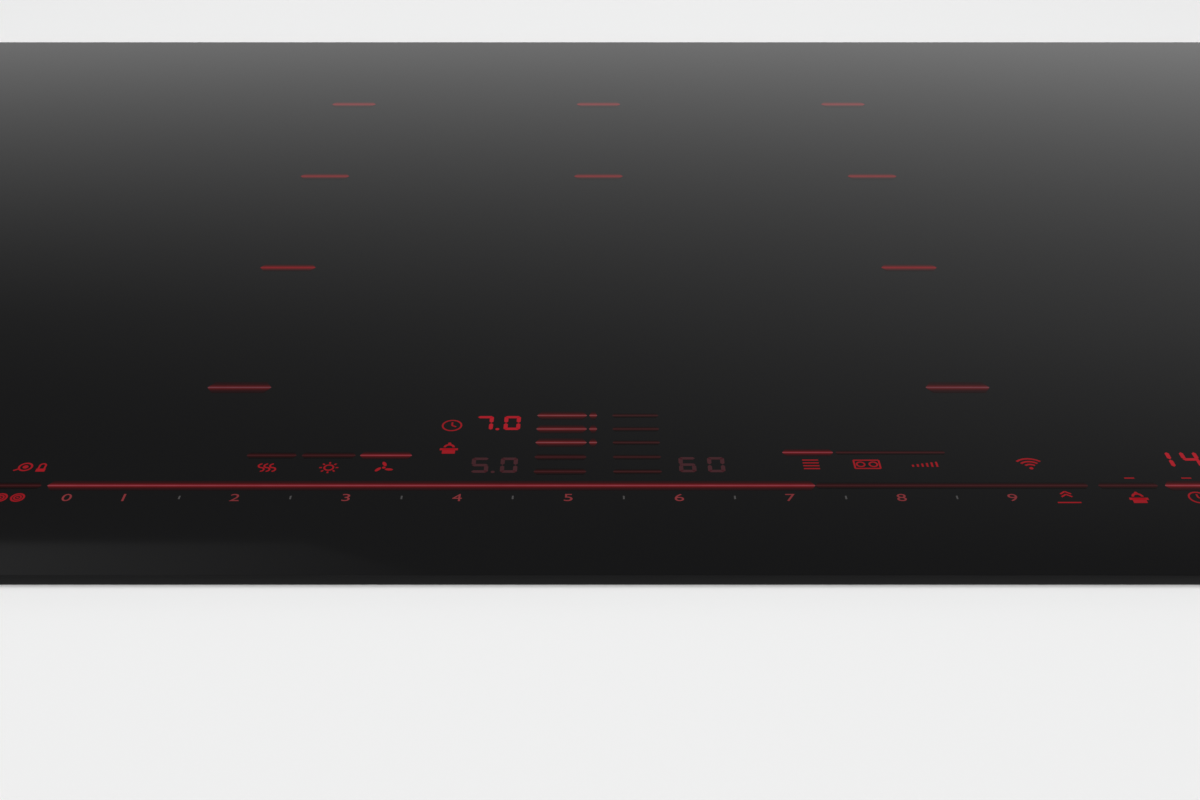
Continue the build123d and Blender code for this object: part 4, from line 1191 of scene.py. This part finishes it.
def stage_finish(name, colour, fade_axes, fade_span):
    """Pale paint that shows from above only, keeps shadows and fades into the background; mirrored rays see a
    painted glow in its place, brighter towards +x and -y.
    """
    material = bpy.data.materials.new(name)
    tree = Tree(material)
    tree.nodes.remove(tree.nodes["Principled BSDF"])
    place = tree.node("ShaderNodeTexCoord", output="Object")
    flat = tree.node("ShaderNodeVectorMath", {"operation": "MULTIPLY"}, {0: place, 1: fade_axes})
    reach = tree.node("ShaderNodeVectorMath", {"operation": "LENGTH"}, {0: flat}, "Value")
    near, far = (distance * MM for distance in fade_span)
    fade = ((far - reach) / (far - near)).at_most(1.0).at_least(0.0)
    camera = tree.ray("Is Camera Ray")
    mirrored = tree.ray("Is Glossy Ray") + tree.ray("Is Transmission Ray")
    front = 1 - tree.node("ShaderNodeNewGeometry", output="Backfacing")
    paint = tree.node("ShaderNodeBsdfDiffuse", sockets={"Color": colour})
    tilt = FLOOR_TILT * (tree.axis(place, "X") - tree.axis(place, "Y"))
    # Painted reflection: mirrored rays see this glow of bounced floor light in place of the shaded paint,
    # with no shadow in it
    reflected_glow = tree.node("ShaderNodeEmission", sockets={"Color": FLOOR_BOUNCE + tilt})
    sheet = tree.node("ShaderNodeMixShader", sockets={0: camera, 1: reflected_glow, 2: paint})
    clear = tree.node("ShaderNodeBsdfTransparent")
    shown = (camera + mirrored).at_most(1.0) * front * fade
    surface = tree.node("ShaderNodeMixShader", sockets={0: shown, 1: clear, 2: sheet})
    tree.feed(tree.nodes["Material Output"].inputs["Surface"], surface)
    return material


def stage_sheet(low, high, material):
    """Flat sheet between two corners, named for its paint."""
    low, high = Vector(low), Vector(high)
    size = high - low
    place = Matrix.Translation((low + high) / 2) @ Matrix.Diagonal((size.x, size.y, 1.0, 1.0))
    bm = bmesh.new()
    bmesh.ops.create_grid(bm, x_segments=1, y_segments=1, size=0.5, matrix=place)
    add_object(material.name, bm, material)


def stage():
    """Floor under the tray, and the worktop's surface in front of the glass."""
    base = TRAY_LOW.z - FLOOR_DROP * MM
    paint = stage_finish("floor", FLOOR_COLOUR, (1.0, 1.0, 0.0), FLOOR_FADE)
    reach = FLOOR_REACH * MM
    stage_sheet((-reach, -reach, base), (reach, reach, base), paint)
    top = GLASS_LOW.z + WORKTOP_ABOVE_SEAL * MM
    rear = GLASS_LOW.y + WORKTOP_BEHIND_EDGE * MM
    front = GLASS_LOW.y - WORKTOP_DEPTH * MM
    paint = stage_finish("worktop", WORKTOP_COLOUR, (1.0, 0.0, 0.0), WORKTOP_FADE)
    reach = WORKTOP_FADE[1] * MM
    stage_sheet((-reach, front, top), (reach, rear, top), paint)


def room_light():
    """World: a square room, bright low down and darker above."""
    world = bpy.data.worlds.new("room")
    bpy.context.scene.world = world
    tree = Tree(world)
    background = tree.nodes["Background"]
    direction = tree.node("ShaderNodeTexCoord", output="Generated")
    across, away, height = (tree.axis(direction, name) for name in "XYZ")
    rise = height / abs(across).at_least(abs(away))
    fall = math.e ** ((BAND_TOP - rise) / BAND_FALL)
    walls = (CEILING_LIGHT + (BAND_LIGHT - CEILING_LIGHT) * fall).at_most(BAND_LIGHT)
    side = SIDE_LIGHT * across * ((SIDE_TOP - rise) / SIDE_FADE).at_most(1.0).at_least(0.0)
    place = across / abs(away)
    panel_edge = PANEL_RISE + PANEL_SLOPE * (place - PANEL_CORNER).at_least(0.0)
    panel = PANEL_LIGHT * (PANEL_RIGHT - place).at_least(0.0).at_most(PANEL_FULL) * (rise > panel_edge)
    below = height < 0.0
    light = (walls + side + panel).at_least(LEAST_LIGHT) * (1 - below) + FLOOR_BOUNCE * below
    camera = tree.ray("Is Camera Ray")
    level = light * (1 - camera) + BACKGROUND * camera
    tree.feed(background.inputs["Color"], level)
    tree.feed(background.inputs["Strength"], 1.0)


def soft_box():
    """Wide lamp overhead, which neither the camera nor a mirrored ray sees."""
    lamp = bpy.data.lights.new("soft_box", "AREA")
    lamp.size = SOFT_BOX_SIZE * MM
    lamp.energy = SOFT_BOX_POWER
    box = bpy.data.objects.new("soft_box", lamp)
    box.location = (0.0, 0.0, SOFT_BOX_HEIGHT * MM)
    box.visible_camera = False
    box.visible_glossy = False
    bpy.context.scene.collection.objects.link(box)


def photograph_camera():
    """Camera in front of the glass, looking down along its middle."""
    lens = bpy.data.cameras.new("photograph_camera")
    lens.sensor_width = SENSOR_WIDTH
    lens.lens = SENSOR_WIDTH * FOCAL_PIXELS / IMAGE_WIDTH
    lens.shift_x = (IMAGE_WIDTH / 2 - MIDDLE_PIXEL) / IMAGE_WIDTH
    lens.clip_start = NEAREST_VIEW * MM
    camera = bpy.data.objects.new("photograph_camera", lens)
    camera.location = Vector(CAMERA_PLACE) * MM
    camera.rotation_euler = (math.radians(90.0 - CAMERA_PITCH), 0.0, 0.0)
    bpy.context.scene.collection.objects.link(camera)
    bpy.context.scene.camera = camera


def main():
    photograph_camera()
    finish = finishes()
    dress_solids(finish)
    glass_pane(finish["black_glass"])
    lit_marks()
    tray_screws(finish)
    terminal_screws(finish)
    corner_laps(finish)
    clip_rivets(finish)
    spring_clips(finish)
    stage()
    room_light()
    soft_box()
    bpy.context.scene.view_settings.view_transform = "Standard"


main()
